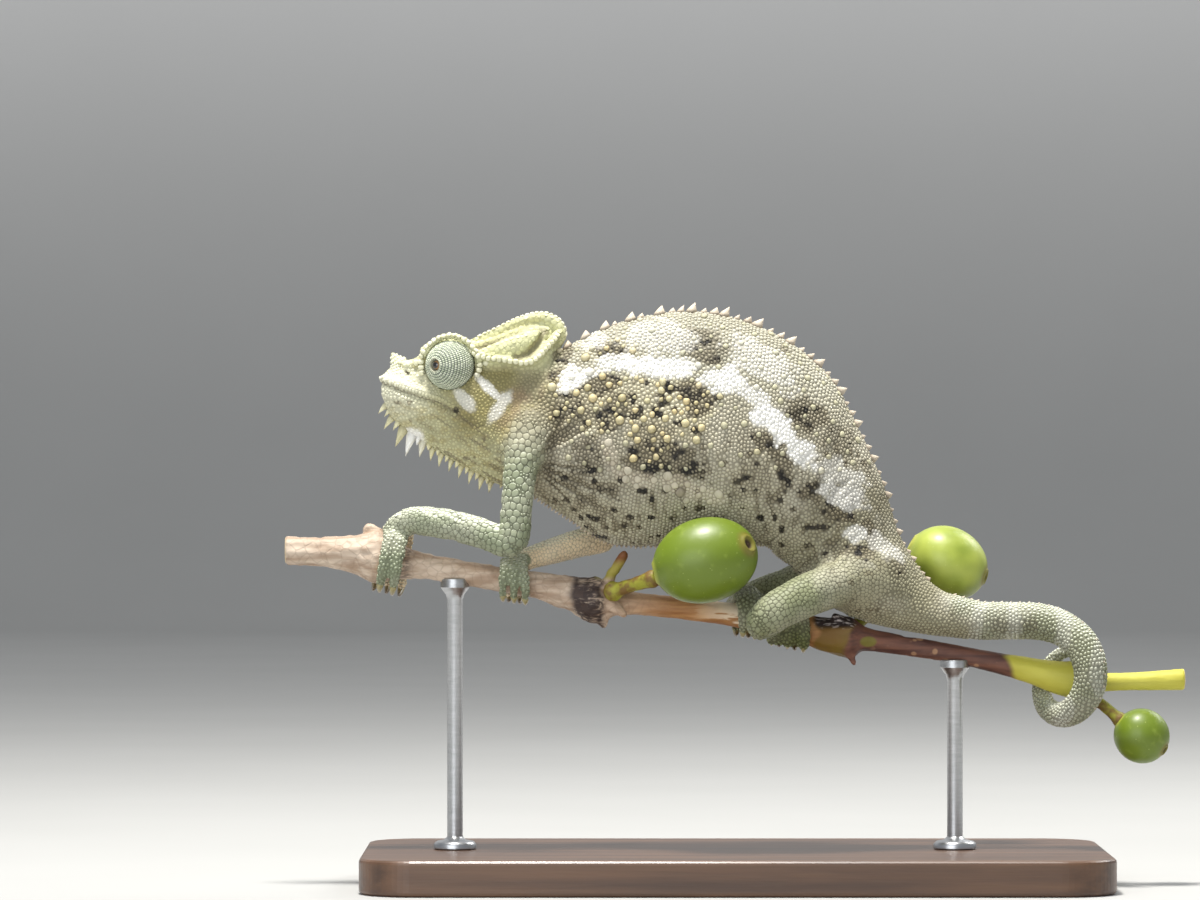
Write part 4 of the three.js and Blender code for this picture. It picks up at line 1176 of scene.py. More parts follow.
def outlines(scales: Scales, sides: int, near: Array, chosen: Array, gap: Array) -> tuple[Array, Array]:
    """Each scale's outline, where its neighbours' cells begin.

    Args:
        scales: all the scales.
        sides: points of an outline.
        near: the neighbours of each.
        chosen: the indices of the scales to outline.
        gap: half the furrow round each of them, in mm.

    Returns:
        The outline radii and the directions of its points.
    """
    normal = scales.normals[chosen]
    first = unit(np.cross(normal, np.where(np.abs(normal[:, 2:]) < 0.9, UP, AHEAD)))
    second = np.cross(normal, first)
    away = scales.places[near[chosen]] - scales.places[chosen][:, None]
    flat = away - (away * normal[:, None]).sum(-1, keepdims=True) * normal[:, None]
    length = np.linalg.norm(away, axis=-1)
    flat = unit(flat) * length[..., None]
    own, other = scales.radii[chosen][:, None], scales.radii[near[chosen]]
    bound = (length ** 2 + own ** 2 - other ** 2) / 2
    start = hashed(chosen[:, None], 7) * 2 * np.pi
    radii, ways = np.empty((len(chosen), sides)), np.empty((len(chosen), sides, 3))
    for k in range(sides):
        angle = start + 2 * np.pi * k / sides
        ways[:, k] = first * np.cos(angle)[:, None] + second * np.sin(angle)[:, None]
        ahead = (flat * ways[:, k, None]).sum(-1)
        radii[:, k] = np.where(ahead > 1e-3, bound / np.maximum(ahead, 1e-3), 1e3).min(1)
    return np.clip(radii - gap[:, None], 0.35 * own, 1.22 * own), ways


def scale_mesh(scales: Scales, near: Array, chosen: Array, form: Form, gap: Array, sunk: float) -> dict[str, Array]:
    """The meshes of scales of one form.

    Args:
        scales: all the scales.
        near: the neighbours of each.
        chosen: the indices of those to make.
        form: their form.
        gap: half the furrow round each of them, in mm.
        sunk: how deep their feet reach into the skin, in mm.

    Returns:
        Points, triangles, each point's scale, its rise from 0 at the foot to 1 at the tip, and its
        offset from the root in the scale's own plane, as shares of the radius.
    """
    sides, rings = form.value
    radii, ways = outlines(scales, sides, near, chosen, gap)
    normal, root = scales.normals[chosen], scales.places[chosen]
    height, lean = scales.heights[chosen], scales.leans[chosen]
    count, levels = len(chosen), len(rings) + 1
    layers, rises, offsets = [], [], []
    for wide, high in ((1.0, 0.0), *rings):
        lift = height * high if high else np.full(count, -sunk)
        spot = root[:, None] + ways * (radii * wide)[..., None] + normal[:, None] * lift[:, None, None]
        layers.append(spot + (lean * high ** 1.4)[:, None])
        rises += [high] * sides
        offsets.append(columns(np.cos(circle(sides)), np.sin(circle(sides))) * wide)
    tip = root + normal * height[:, None] + lean
    points = np.concatenate([*layers, tip[:, None]], axis=1)
    faces, last = [], (levels - 1) * sides
    for low in range(0, last, sides):
        for k in range(sides):
            step, high = (k + 1) % sides, low + sides
            faces += [(low + k, low + step, high + step), (low + k, high + step, high + k)]
    faces += [(last + k, last + (k + 1) % sides, levels * sides) for k in range(sides)]
    faces += [(0, k + 1, k) for k in range(1, sides - 1)]
    size = points.shape[1]
    return {
        "points": points.reshape(-1, 3),
        "triangles": (np.array(faces)[None] + (np.arange(count) * size)[:, None, None]).reshape(-1, 3),
        "scale": np.repeat(chosen, size),
        "rise": np.tile([*rises, 1.0], count),
        "offset": np.tile(np.vstack([*offsets, np.zeros((1, 2))]), (count, 1)),
    }


# ------------------------------------------------------------------ markings, with painted shade in folds and creases
class Mark(IntEnum):
    """The colours of the markings; the dark one also holds painted shade in folds and creases."""

    DARK = 0
    WHITE = 1
    TAN = 2


@dataclass(frozen=True)
class Blotch:
    """A soft-edged patch: its middle, half length, half height, slope in degrees and strength."""

    x: float
    z: float
    length: float
    height: float
    slope: float
    strength: float

    def cover(self, points: Array, wobble: Array) -> Array:
        """How strongly the patch covers each point.

        Args:
            points: places in mm.
            wobble: what makes its edge uneven at each point.

        Returns:
            Numbers from 0 to 1.
        """
        turn = math.radians(self.slope)
        x, z = points[:, 0] - self.x, points[:, 2] - self.z
        along, over = x * math.cos(turn) + z * math.sin(turn), z * math.cos(turn) - x * math.sin(turn)
        return self.strength * ease(1.25, 0.78, np.hypot(along / self.length, over / self.height) + 0.62 * wobble)


BLOTCHES = {mark: [Blotch(*row) for row in rows] for mark, rows in {
    Mark.WHITE: (
        (-22.6, 71, 2.9, 1.3, 38, 0.95), (-17.2, 72.9, 3, 1.2, 8, 0.75), (-10.6, 72.6, 5.6, 1.5, -2, 1),
        (-2.2, 71, 2.9, 1.7, -12, 0.95), (2, 68.8, 2.6, 1.6, -40, 0.7), (5.4, 64.6, 3, 1.9, -42, 1),
        (9.3, 60.4, 2.6, 1.6, -42, 0.9), (13.6, 58, 3.6, 2.2, -35, 0.45), (14.8, 54.4, 3.4, 1.5, -30, 0.62),
        (16.6, 49.2, 1.8, 1.2, -15, 0.62), (-11, 76.4, 5, 2.2, 0, 0.42), (4, 72.8, 5.5, 2.2, -38, 0.45),
        (-19.5, 76.2, 2, 1, 20, 0.5), (-17.8, 60.4, 1.1, 2, 10, 0.3), (-13.6, 57, 3.4, 1.1, -14, 0.3),
        (-6.6, 55.4, 4.6, 1.3, -16, 0.3), (20.6, 47.6, 2.6, 1.3, -35, 0.45), (16.4, 44.4, 2.2, 1, 10, 0.35),
        (-37.7, 67.8, 2, 1, -48, 0.62), (-34.5, 69.6, 2.5, 0.66, -45, 0.8), (-32.9, 66.9, 2.7, 0.85, 55, 0.6),
        (-32.2, 68.1, 1.1, 0.8, 0, 0.65), (-45.6, 61.6, 1.9, 2.6, -30, 1),
    ),
    Mark.DARK: (
        (-17.3, 74.6, 2.2, 1.4, -10, 1), (-24, 74.2, 2, 1, 25, 0.9), (-4.8, 75.6, 2.6, 2.6, -35, 0.75),
        (-3.8, 73.6, 2, 1.2, -10, 0.9), (-25, 71.2, 1.2, 1, 0, 0.9), (-18.4, 70.2, 3, 1.3, 10, 0.95),
        (-22.6, 66.8, 3.4, 2.4, 0, 0.7), (-17, 66, 2.6, 2.8, 0, 0.75), (-5.4, 68.6, 2.4, 2.2, -30, 0.9),
        (-11.4, 63.4, 3.2, 1.4, 0, 0.6), (-13, 59.3, 2.3, 2.4, 0, 0.95), (-7.6, 59.5, 2.4, 3.2, 35, 0.95),
        (-20.2, 60, 2.6, 2.2, 0, 0.7), (-22.6, 56.8, 1.4, 1.2, 0, 0.7), (4.3, 62.3, 2.6, 1.4, -12, 1),
        (6.7, 58, 1.5, 2.6, 10, 0.85), (2, 56.4, 3, 2.4, 20, 0.45), (9.6, 65.6, 3.2, 2.6, -45, 0.8),
        (14, 61.9, 3.4, 2.2, -45, 0.5), (11.4, 55.3, 2, 1, 15, 0.75), (13.8, 52, 2, 1.1, 0, 0.75),
        (17.9, 46.1, 1.9, 1.5, 30, 0.85), (15.6, 47.4, 2.6, 1.2, -10, 0.4), (21.5, 44.5, 2.4, 1.2, -20, 0.7),
        (15, 51.7, 2.2, 1, -10, 1), (18.6, 49.4, 1, 2.4, 15, 0.8), (17, 46.4, 2, 1.5, 0, 1),
        (10.4, 55.3, 2.2, 0.9, 42, 0.9), (-38.9, 66.4, 0.5, 0.5, 0, 1), (-45.8, 71.7, 0.34, 0.3, 0, 0.9),
    ),
    Mark.TAN: (
        (-18.6, 68, 7.5, 4, -5, 1), (-9.5, 65.4, 6, 4.8, -10, 1), (-17, 74.6, 4, 2, 0, 0.6),
        (3, 57.5, 4, 3.5, 0, 0.35), (-35.6, 67.4, 1.2, 2.2, 0, 0.65), (-47.4, 72.6, 1, 0.6, 0, 0.9),
        (-44.2, 73, 1.2, 1, 35, 0.9), (-39.6, 68.6, 1.6, 0.6, -20, 0.6),
    ),
}.items()}


def markings(points: Array, weights: Array, depth: Array | float = 0.0) -> Array:
    """The animal's pattern, with painted shade in its folds and creases: how dark, white and tan each point is.

    Args:
        points: places in mm.
        weights: the shares of head, limb and tail at each.
        depth: how deep in a fold each is, in mm; deeper places are darkened as painted shade.

    Returns:
        Three columns from 0 to 1.
    """
    x, y, z = points.T
    head, limb, tail = weights.T
    trunk = np.clip(1 - weights.sum(1), 0, 1)
    wobble = 0.75 * noise(points, 2.6, 11) + 0.6 * noise(points, 1.1, 12)
    wobble = (wobble + 0.3 * noise(points, 0.62, 91)) * (1 - 0.7 * head)
    shown = np.clip(1 - limb * 1.6 - tail, 0, 1)
    dark, white, tan = (
        np.max([blotch.cover(points, wobble) * shown for blotch in BLOTCHES[mark]], axis=0) for mark in Mark
    )
    speck = 0.5 * dark + 0.46 * noise(points * [1, 0.6, 1], 0.95, 13) + 0.14 * noise(points, 0.5, 17)
    core = np.maximum(ease(0.46, 0.58, speck), head * dark)
    low = ease(66, 56, z) * ease(-29, -24, x) * ease(24, 14, x)
    high = ease(70, 76, z) * ease(24, 8, x)
    throat = head * ease(68, 65, z + 0.4 * (x + 40))
    specks = noise(points * [1.0, 1.0, 0.7], 0.9, 21) + 0.12 * noise(points, 5.0, 22) + 0.2 * noise(points, 0.55, 25)
    # painted shade: dark crease lines on the jaw and throat, in colour only
    crease = ease(0.2, 0.5, noise(jaw_creases(points), 0.5, 18)) * ease(-46, -42, x) * throat
    crack = ease(0.3, 0.42, noise(points * [1, 0.4, 1], 0.95, 14) + 0.2 * noise(points, 3.0, 15))
    # painted shade: dark fold lines low on the flank, in colour only
    fold = ease(0.25, 0.5, noise(columns(x + 0.2 * z, 0.3 * y, 0.16 * z), 0.62, 16))
    dark = np.max([
        0.58 * dark,
        core * ease(0.05, 0.3, dark),
        ease(0.44, 0.58, specks) * low * trunk,
        0.4 * ease(0.2, 0.6, noise(points, 2.2, 31)) * high * trunk,
        0.6 * ease(0.66, 0.74, noise(points, 1.3, 41)) * throat,
        0.28 * (ease(0.3, 0.7, noise(points, 2.6, 61)) * tail),
        0.42 * crease,
        0.5 * ease(0.22, 0.08, distance_to_line(points[:, [0, 2]], MOUTH)[0]) * (head > 0.5),
        crack * ease(0.3, 0.6, tan) * trunk,
        0.45 * fold * low * trunk,
    ], axis=0)
    bands = ease(0.1, 0.8, np.sin(x * 1.15 + 1.6 * noise(points, 5.0, 51)))
    white = np.maximum(white, 0.2 * bands * tail)
    # painted shade: the deeper a place lies in a fold of the skin, the darker it is, except on the limbs
    dark = np.maximum(dark * (1 - 0.9 * white), 0.55 * ease(0.06, 0.4, depth + 0 * x) * (1 - limb))
    return np.clip(columns(dark, white, tan), 0, 1)


# ------------------------------------------------------------------ the coat of scales
# Spines under the throat: x, z, length and how far the tip leans back.
THROAT_SPINES: Rows = (
    (-48.7, 67.2, 1.5, -2.6), (-48.2, 65.3, 1.9, -2), (-46.6, 63.8, 2.8, -1.2), (-45.3, 62.9, 3, -0.9),
    (-43.8, 61.8, 2.1, -0.7), (-42.4, 61, 1.8, -0.6), (-41.1, 60.4, 1.9, -0.6), (-39.7, 59.5, 1.7, -0.7),
    (-38.3, 58.7, 1.8, -0.7), (-36.9, 57.9, 1.8, -0.7), (-35.5, 57.1, 1.9, -0.6), (-34.2, 56.5, 1.6, -0.5),
)


def lattice(loops: Array, pitch: float | Array, seed: int, jitter: float = 1.0) -> Array:
    """Places along closed loops, every second loop's moved by half a step.

    Args:
        loops: points by loop and place along it, with any further columns that go with them.
        pitch: the spacing along a loop, in mm, or one for each loop.
        seed: picks the small irregularities.
        jitter: how strong they are.

    Returns:
        The places, with the same columns.
    """
    random = np.random.default_rng(seed)
    found = []
    for number, (loop, step) in enumerate(zip(loops, np.broadcast_to(pitch, len(loops)))):
        closed = np.vstack([loop, loop[:1]])
        run = np.concatenate([[0], np.cumsum(np.linalg.norm(np.diff(closed[:, :3], axis=0), axis=1))])
        count = max(6, int(run[-1] / step))
        at = (np.arange(count) + 0.5 * (number % 2)) / count * run[-1]
        at = (at + random.normal(0, 0.14 * step * jitter, count)) % run[-1]
        found.append(columns(*(np.interp(at, run, column) for column in closed.T)))
    places = np.vstack(found)
    places[:, :3] += random.normal(0, 0.1 * np.mean(pitch) * jitter, (len(places), 3))
    return places


@dataclass
class Coat:
    """All the scales on the skin, from the largest spines to the finest granules."""

    skin: Skin
    pitch: float = 0.52
    sunk: float = 0.14
    room: float = 0.022
    most: int = 185000
    stretches: tuple = (
        ("head", "head_skin", (Region.HEAD,)),
        ("trunk", "body_skin", (Region.BODY,)),
        ("tail", "tail_skin", (Region.TAIL,)),
        ("arms", "limb_skin", (Region.LEFT_ARM, Region.RIGHT_ARM)),
        ("legs", "limb_skin", (Region.LEFT_LEG, Region.RIGHT_LEG)),
    )

    def spines(self) -> Scales:
        """The crest along the back, in groups of a large spine with smaller ones before it.

        Returns:
            The scales, on the skin.
        """
        groups = []
        for share, station in zip(np.linspace(0, 1, 18), np.linspace(0.1, 11.2, 18)):
            shrink = 1 - 0.66 * max(0.0, share - 0.4) / 0.6
            for k, size in enumerate((1.0, 0.72, 0.54)):
                centre, up, _, above, _ = body_section(np.array([station - 0.2 * k]))
                back = np.array([up[0, 2], 0.0, -up[0, 0]])
                tall = 1.36 * shrink * size
                lean = 0.42 * tall * back + 0.15 * tall * up[0]
                wide = 1.02 * shrink ** 0.5 * size ** 0.8
                groups.append(Scales.make(centre + up * above, wide, 0.85 * tall, Form.CONE, lean))
        tail = spaced(TAIL, 1.25)[:34]
        along, _, up = frames_along(tail[:, :3], UP)
        sizes = np.linspace(1.0, 0.5, len(tail))
        places = tail[:, :3] + up * tail[:, 3:]
        groups.append(Scales.make(places, 0.3 * sizes, 0.28 * sizes, Form.CONE, along * 0.2 * sizes[:, None]))
        return Scales.joined(groups).on(self.skin)

    def throat(self) -> Scales:
        """The row of spines under throat and chest, with smaller ones between and beside them.

        Returns:
            The scales, on the skin.
        """
        rows = catmull(THROAT_SPINES, np.arange(0, len(THROAT_SPINES) - 0.9, 0.5))
        rows[1::2, 2] *= 0.5
        small = rows[1::2] * [1, 1, 0.8, 1]
        side = np.repeat([0, 0.75, -0.75], (len(rows), len(small), len(small)))
        x, z, tall, back = np.vstack([rows, small, small]).T
        places = columns(x + 0.35 * np.abs(side), side, z + 0.3 * np.abs(side))
        found = Scales.make(places, 0.22 + 0.23 * tall, tall, Form.CONE).on(self.skin, 9.0)
        way = unit(columns(back * 0.35, 0.25 * side, -1))
        found.leans = way * (1.08 * tall[:, None]) - 0.75 * tall[:, None] * found.normals
        found.heights = 0.75 * found.heights
        stations = np.arange(0.3, 7.6, 0.085)
        size = ease(7.6, 0.5, stations) * 0.55 + 0.45
        _, _, x, z, _ = catmull(BODY, stations).T
        chest = Scales.make(columns(x, 0, z), 0.3 * size, 0.5 * size, Form.CONE).on(self.skin)
        return Scales.joined([found, chest])

    def beads(self) -> Scales:
        """The beaded edges of helmet, rims, brows and lips.

        Returns:
            The scales, on the skin.
        """
        groups = [Scales.make(spaced(CREST, 0.72)[2:, :3] + [0.25, 0, 1.0], 0.38, 0.2, Form.KNOB)]
        for side in (-1, 1):
            rim = spaced(on_side(SIDE_RIM, side), 0.78)
            groups.append(Scales.make(rim[:, :3] + [0, side * 0.6, -0.25], 0.36, 0.2, Form.KNOB))
            brow = spaced(on_side(BROW, side), 0.72)[:, :3]
            away = unit(brow[:, [0, 2]] - [EYE_AT[0], EYE_AT[2]])
            lift = columns(0.4 * away[:, 0], side * 0.5, 0.4 * away[:, 1])
            groups.append(Scales.make(brow + lift, 0.38, 0.2, Form.KNOB))
            groups.append(Scales.make((brow + 2.2 * lift * [1, 0, 1])[2:-2], 0.42, 0.22, Form.KNOB))
            line, skull = np.array(MOUTH)[1:-3], np.array(SKULL)
            x, z = (np.interp(np.linspace(0, len(line) - 1, 25), np.arange(len(line)), part) for part in line.T)
            y = side * (np.interp(x, skull[:, 0], skull[:, 3]) + 0.7)
            groups += [Scales.make(columns(x, y, z + rise), 0.23, 0.1, Form.TILE) for rise in (0.36, -0.4)]
        return Scales.joined(groups).on(self.skin, 1.8)

    def knobs(self) -> Scales:
        """The large knobs of back and flank, and the flat plates low on the flank.

        Returns:
            The scales, on the skin.
        """
        skin = self.skin
        places = scatter(skin, 9000, 5)
        x, y, z = places.T
        _, white, tan = markings(places, np.zeros((len(places), 3))).T
        trunk = (skin.volume.region_at(places) == Region.BODY) & (x > -26.5) & (x < 22) & (np.abs(y) > 0.9)
        draw = hashed(np.arange(len(places))[:, None], 3)
        low = trunk & (white > 0.12) & (z < 62.8) & (z > 52.5) & (x < -1) & (x > -21) & (np.abs(y) > 3)
        in_tan = trunk & (tan > 0.35)
        high = trunk & (tan < 0.35) & (z > 58) & (x > -24)
        knobs, bumps = 0.33 + 0.4 * draw[in_tan] ** 2.2, 0.32 + 0.22 * draw[high] ** 1.5
        plates = 0.4 + 0.34 * hashed(np.arange(low.sum())[:, None], 4)
        groups = [
            without_clashes(Scales.make(places[here], size, tall, form), room)
            for here, size, tall, form, room in (
                (in_tan, knobs, 0.8 * knobs, Form.KNOB, 1.22),
                (high, bumps, 0.62 * bumps, Form.KNOB, 2.5),
                (low, plates, 0.13, Form.TILE, 0.84),
            )
        ]
        return without_clashes(Scales.joined(groups).on(skin), 1.0)

    def rows(self) -> Scales:
        """The rows of granules round trunk, tail, arms and legs.

        Returns:
            The scales, on the skin.
        """
        pitch = self.pitch
        fine = along_table(BODY, 900)
        step = np.hypot(*np.diff(fine[:, [0, 1]], axis=0).T) + np.hypot(*np.diff(fine[:, [2, 3]], axis=0).T)
        run = np.concatenate([[0], np.cumsum(step / 2)])
        stations = np.interp(np.arange(0, run[-1], 0.9 * pitch), run, np.linspace(0, len(BODY) - 1, 900))
        places = lattice(body_rings(stations, 160), pitch, 1)
        wide = 0.5 * pitch * (1 + 0.16 * ease(56, 74, places[:, 2]))
        wide = wide * (0.88 + 0.24 * hashed(np.arange(len(wide))[:, None], 6))
        tall = wide * (0.42 + 0.2 * ease(58, 70, places[:, 2]))
        groups = [Scales.make(places, wide, tall, Form.GRANULE)]
        lines = [(spaced(TAIL, 0.1), (pitch, pitch), UP, 0.24, Form.GRANULE)]
        lines += [(spaced(limb.rows, 0.1)[8:], limb.scales, AHEAD + 0.3 * ACROSS, 0.085, Form.TILE) for limb in LIMBS]
        for number, (line, sizes, start_up, rise, form) in enumerate(lines):
            sizes = np.interp(np.linspace(0, 1, len(line)), np.linspace(0, 1, len(sizes)), sizes)
            run = np.cumsum(0.1 / (0.88 * sizes))
            chosen = np.searchsorted(run, np.arange(0, run[-1], 1.0))
            _, across, up = frames_along(line[:, :3], start_up)
            line, sizes = line[chosen], sizes[chosen]
            loops = ring(line[:, :3], across[chosen], up[chosen], (line[:, 3],) * 3, (2, 2), 60)
            loops = np.concatenate([loops, np.broadcast_to(sizes[:, None, None], (*loops.shape[:2], 1))], -1)
            found = lattice(loops, sizes, 20 + number)
            groups.append(Scales.make(found[:, :3], 0.52 * found[:, 3], rise * found[:, 3], form))
        return Scales.joined(groups).on(self.skin, 0.9)

    @staticmethod
    def fine_size(places: Array, regions: Array) -> Array:
        """How large the granules between the rows are.

        Args:
            places: their roots.
            regions: the region of each.

        Returns:
            Their radii, in mm.
        """
        x, _, z = places.T
        head = regions == Region.HEAD
        roof = ease(71.5, 73.5, z) * ease(-37, -35, x)
        size = np.where(head, 0.205 + 0.1 * roof + 0.04 * ease(-42, -46, x), 0.235)
        size = np.where(head & (z < 62), 0.23, size)
        return size * (0.88 + 0.24 * hashed(np.floor(places * 9).astype(int), 8))

    def grow(self) -> Scales:
        """Every scale, with the large ones first.

        Returns:
            The scales, with their final sizes and forms.
        """
        first = without_clashes(Scales.joined([self.spines(), self.throat(), self.beads(), self.knobs()]), 0.6)
        count = len(first.places)
        scales = without_clashes(Scales.joined([first, self.rows()]))
        low = (scales.regions == Region.BODY) & (scales.forms == Form.GRANULE.number) & (scales.radii < 0.34)
        low &= scales.places[:, 2] + 1.2 * noise(scales.places, 3.0, 19) < 60.5
        scales.heights[low] *= 0.7
        scales = fill_gaps(scales, self.skin, self.fine_size, 0.5, 40)
        fixed = np.arange(len(scales.places)) < count
        relax(scales, self.skin, 2, fixed)
        tiles = (scales.forms == Form.TILE.number) & (scales.regions >= Region.LEFT_ARM)
        scales.radii[tiles] *= 1.22
        x, _, z = scales.places.T
        head = (scales.regions == Region.HEAD) & ~fixed
        roof = head & (z > 72) & (x > -38)
        scales.heights[head] = 0.26 * scales.radii[head]
        scales.heights[roof] = 0.1 * scales.radii[roof]
        scales.forms[roof] = Form.PLATE.number
        LOG.info("coat: %d scales, %d of them spines, beads, knobs and plates", len(scales.places), count)
        return scales

    def build(self) -> None:
        """Makes the coat's meshes, in pieces that each hold one stretch of the animal."""
        scales, skin = self.grow(), self.skin
        weights = skin.weights[scales.nearest]
        # the dark share also holds painted shade from the depth of the skin's folds
        marks = markings(scales.places, weights, skin.depth[scales.nearest])
        gap = self.room + 0.07 * marks[:, Mark.DARK] * (1 - marks[:, Mark.WHITE])
        near = neighbours(scales.places, 12)
        along, turn = np.zeros(len(scales.places)), np.zeros(len(scales.places))
        for region, line in charts().items():
            mine = scales.regions == region
            along[mine], turn[mine] = line.place(scales.places[mine])
        cost = np.array([sides * (2 * len(rings) + 2) - 2 for sides, rings in (form.value for form in Form)])
        tones = np.clip(0.5 + 0.22 * noise(scales.places, 1.7, 71) + 0.4 * (hashed(near[:, :1], 72) - 0.5), 0, 1)
        for name, slot, regions in self.stretches:
            here = np.flatnonzero(np.isin(scales.regions, regions))
            here = here[np.argsort(along[here] + 10 * scales.regions[here])]
            pieces = int(np.ceil(cost[scales.forms[here]].sum() / self.most))
            for number, chosen in enumerate(np.array_split(here, pieces)):
                parts = []
                for form in Form:
                    some = chosen[scales.forms[chosen] == form.number]
                    if len(some):
                        parts.append(scale_mesh(scales, near, some, form, gap[some], self.sunk))
                starts = np.cumsum([0, *(len(part["points"]) for part in parts)])
                mesh = {title: np.concatenate([part[title] for part in parts]) for title in parts[0]}
                faces = np.concatenate([part["triangles"] + start for part, start in zip(parts, starts)])
                root = mesh["scale"]
                tile = (scales.regions[root] == regions[-1]) * (len(regions) - 1)
                low, high = along[chosen].min(), along[chosen].max()
                u = (along[root] - low) / (high - low)
                uv = columns(0.01 + 0.98 * u, (0.01 + 0.98 * turn[root] + tile) / len(regions))
                title = f"coat_{name}" + (f"_{number + 1}" if pieces > 1 else "")
                own(new_mesh(title, mesh["points"], faces, Hide(), {
                    "marks": marks[root],
                    "body": weights[root],
                    "grain": columns(tones[root], mesh["rise"], scales.forms[root] / 4),
                }, uv + PATCH * mesh["offset"]), slot)


# ------------------------------------------------------------------ meshes
# How much of the unwrap a scale's own patch reaches out from its middle.
PATCH = 0.0015


def new_mesh(name: str, points: Array, faces: Array, finish: "Finish", layers: dict[str, Array] | None = None,
             uv: Array | None = None, soft: bool = True) -> bpy.types.Object:
    """A mesh object in the scene.

    Args:
        name: its name.
        points: places in mm.
        faces: equally long rows of point indices.
        finish: what it is made of.
        layers: numbers in three columns for each point, which the finish reads by name.
        uv: a place on the unwrap for each point.
        soft: whether the faces are shaded smooth.

    Returns:
        The object.
    """
    a, b, c = (points[faces[:, k]] for k in range(3))
    if (np.cross(a, b) * c).sum() < 0:
        faces = faces[:, ::-1]
    mesh = bpy.data.meshes.new(name)
    size = faces.shape[1]
    mesh.vertices.add(len(points))
    mesh.vertices.foreach_set("co", (points * MM).ravel())
    mesh.loops.add(faces.size)
    mesh.loops.foreach_set("vertex_index", faces.ravel().astype(np.int32))
    mesh.polygons.add(len(faces))
    mesh.polygons.foreach_set("loop_start", np.arange(0, faces.size, size, dtype=np.int32))
    mesh.update(calc_edges=True)
    for title, values in (layers or {}).items():
        layer = mesh.attributes.new(title, "FLOAT_VECTOR", "POINT")
        layer.data.foreach_set("vector", values.astype(np.float32).ravel())
    if uv is not None:
        chart = mesh.uv_layers.new(name="OFBake")
        chart.data.foreach_set("uv", uv[faces.ravel()].astype(np.float32).ravel())
    mesh.validate()
    mesh.shade_smooth() if soft else mesh.shade_flat()
    mesh.materials.append(finish.material())
    made = bpy.data.objects.new(name, mesh)
    bpy.context.scene.collection.objects.link(made)
    LOG.info("%s: %d triangles", name, len(faces) * (size - 2))
    return made


def own(piece: bpy.types.Object, slot: str, *nodes: str) -> None:
    """Lets a piece ride on the model.

    Args:
        piece: the mesh object.
        slot: its material slot; not used.
        nodes: the solids that it stands for.
    """
    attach(piece, "root")
    if nodes:
        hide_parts(*nodes)


def from_shell(name: str, shell: Shell, finish: "Finish", grain: Array | None = None,
               soft: bool = True) -> bpy.types.Object:
    """A mesh object from a closed shell, with what its finish reads at each point."""
    layers = None if grain is None else {"grain": grain}
    return new_mesh(name, shell.points, shell.triangles, finish, layers, None, soft)


# ------------------------------------------------------------------ shading
@dataclass(frozen=True)
class Value:
    """A number, vector or colour in a material; arithmetic on it adds nodes."""

    graph: "Graph"
    socket: bpy.types.NodeSocket

    def _with(self, operation: str, first: "Input", second: "Input") -> "Value":
        """The result of an operation on two inputs, of which one is this value.

        Args:
            operation: what is done.
            first: the first input.
            second: the second input.

        Returns:
            The result.
        """
        wide = any(isinstance(item, tuple) or getattr(getattr(item, "socket", None), "type", "VALUE") != "VALUE"
                   for item in (first, second))
        kind = "ShaderNodeVectorMath" if wide else "ShaderNodeMath"
        return self.graph.node(kind, {"operation": operation}, {0: first, 1: second})

    def __add__(self, other: "Input") -> "Value":
        """The sum."""
        return self._with("ADD", self, other)

    def __sub__(self, other: "Input") -> "Value":
        """The difference."""
        return self._with("SUBTRACT", self, other)

    def __rsub__(self, other: "Input") -> "Value":
        """The difference the other way round."""
        return self._with("SUBTRACT", other, self)

    def __mul__(self, other: "Input") -> "Value":
        """The product."""
        return self._with("MULTIPLY", self, other)

    __radd__, __rmul__ = __add__, __mul__

    def step(self, low: float, high: float) -> "Value":
        """A soft step.

        Args:
            low: where it is 0.
            high: where it is 1.

        Returns:
            The step.
        """
        if low > high:
            return 1.0 - self.step(high, low)
        settings = {"interpolation_type": "SMOOTHSTEP"}
        return self.graph.node("ShaderNodeMapRange", settings, {"Value": self, "From Min": low, "From Max": high})

    def mix(self, low: "Input", high: "Input") -> "Value":
        """Between two colours, by this value."""
        settings = {"data_type": "RGBA"}
        return self.graph.node("ShaderNodeMix", settings, {0: self, 6: low, 7: high}, 2)

    def parts(self) -> tuple["Value", "Value", "Value"]:
        """The three components."""
        return tuple(self.graph.node("ShaderNodeSeparateXYZ", {}, {0: self}, k) for k in range(3))


Input = Value | float | tuple


def rgb(red: int, green: int, blue: int) -> tuple[float, float, float, float]:
    """A colour as the renderer counts it, from display values of 0 to 255."""
    part = lambda v: v / 12.92 if v <= 0.04045 else ((v + 0.055) / 1.055) ** 2.4
    return part(red / 255), part(green / 255), part(blue / 255), 1.0


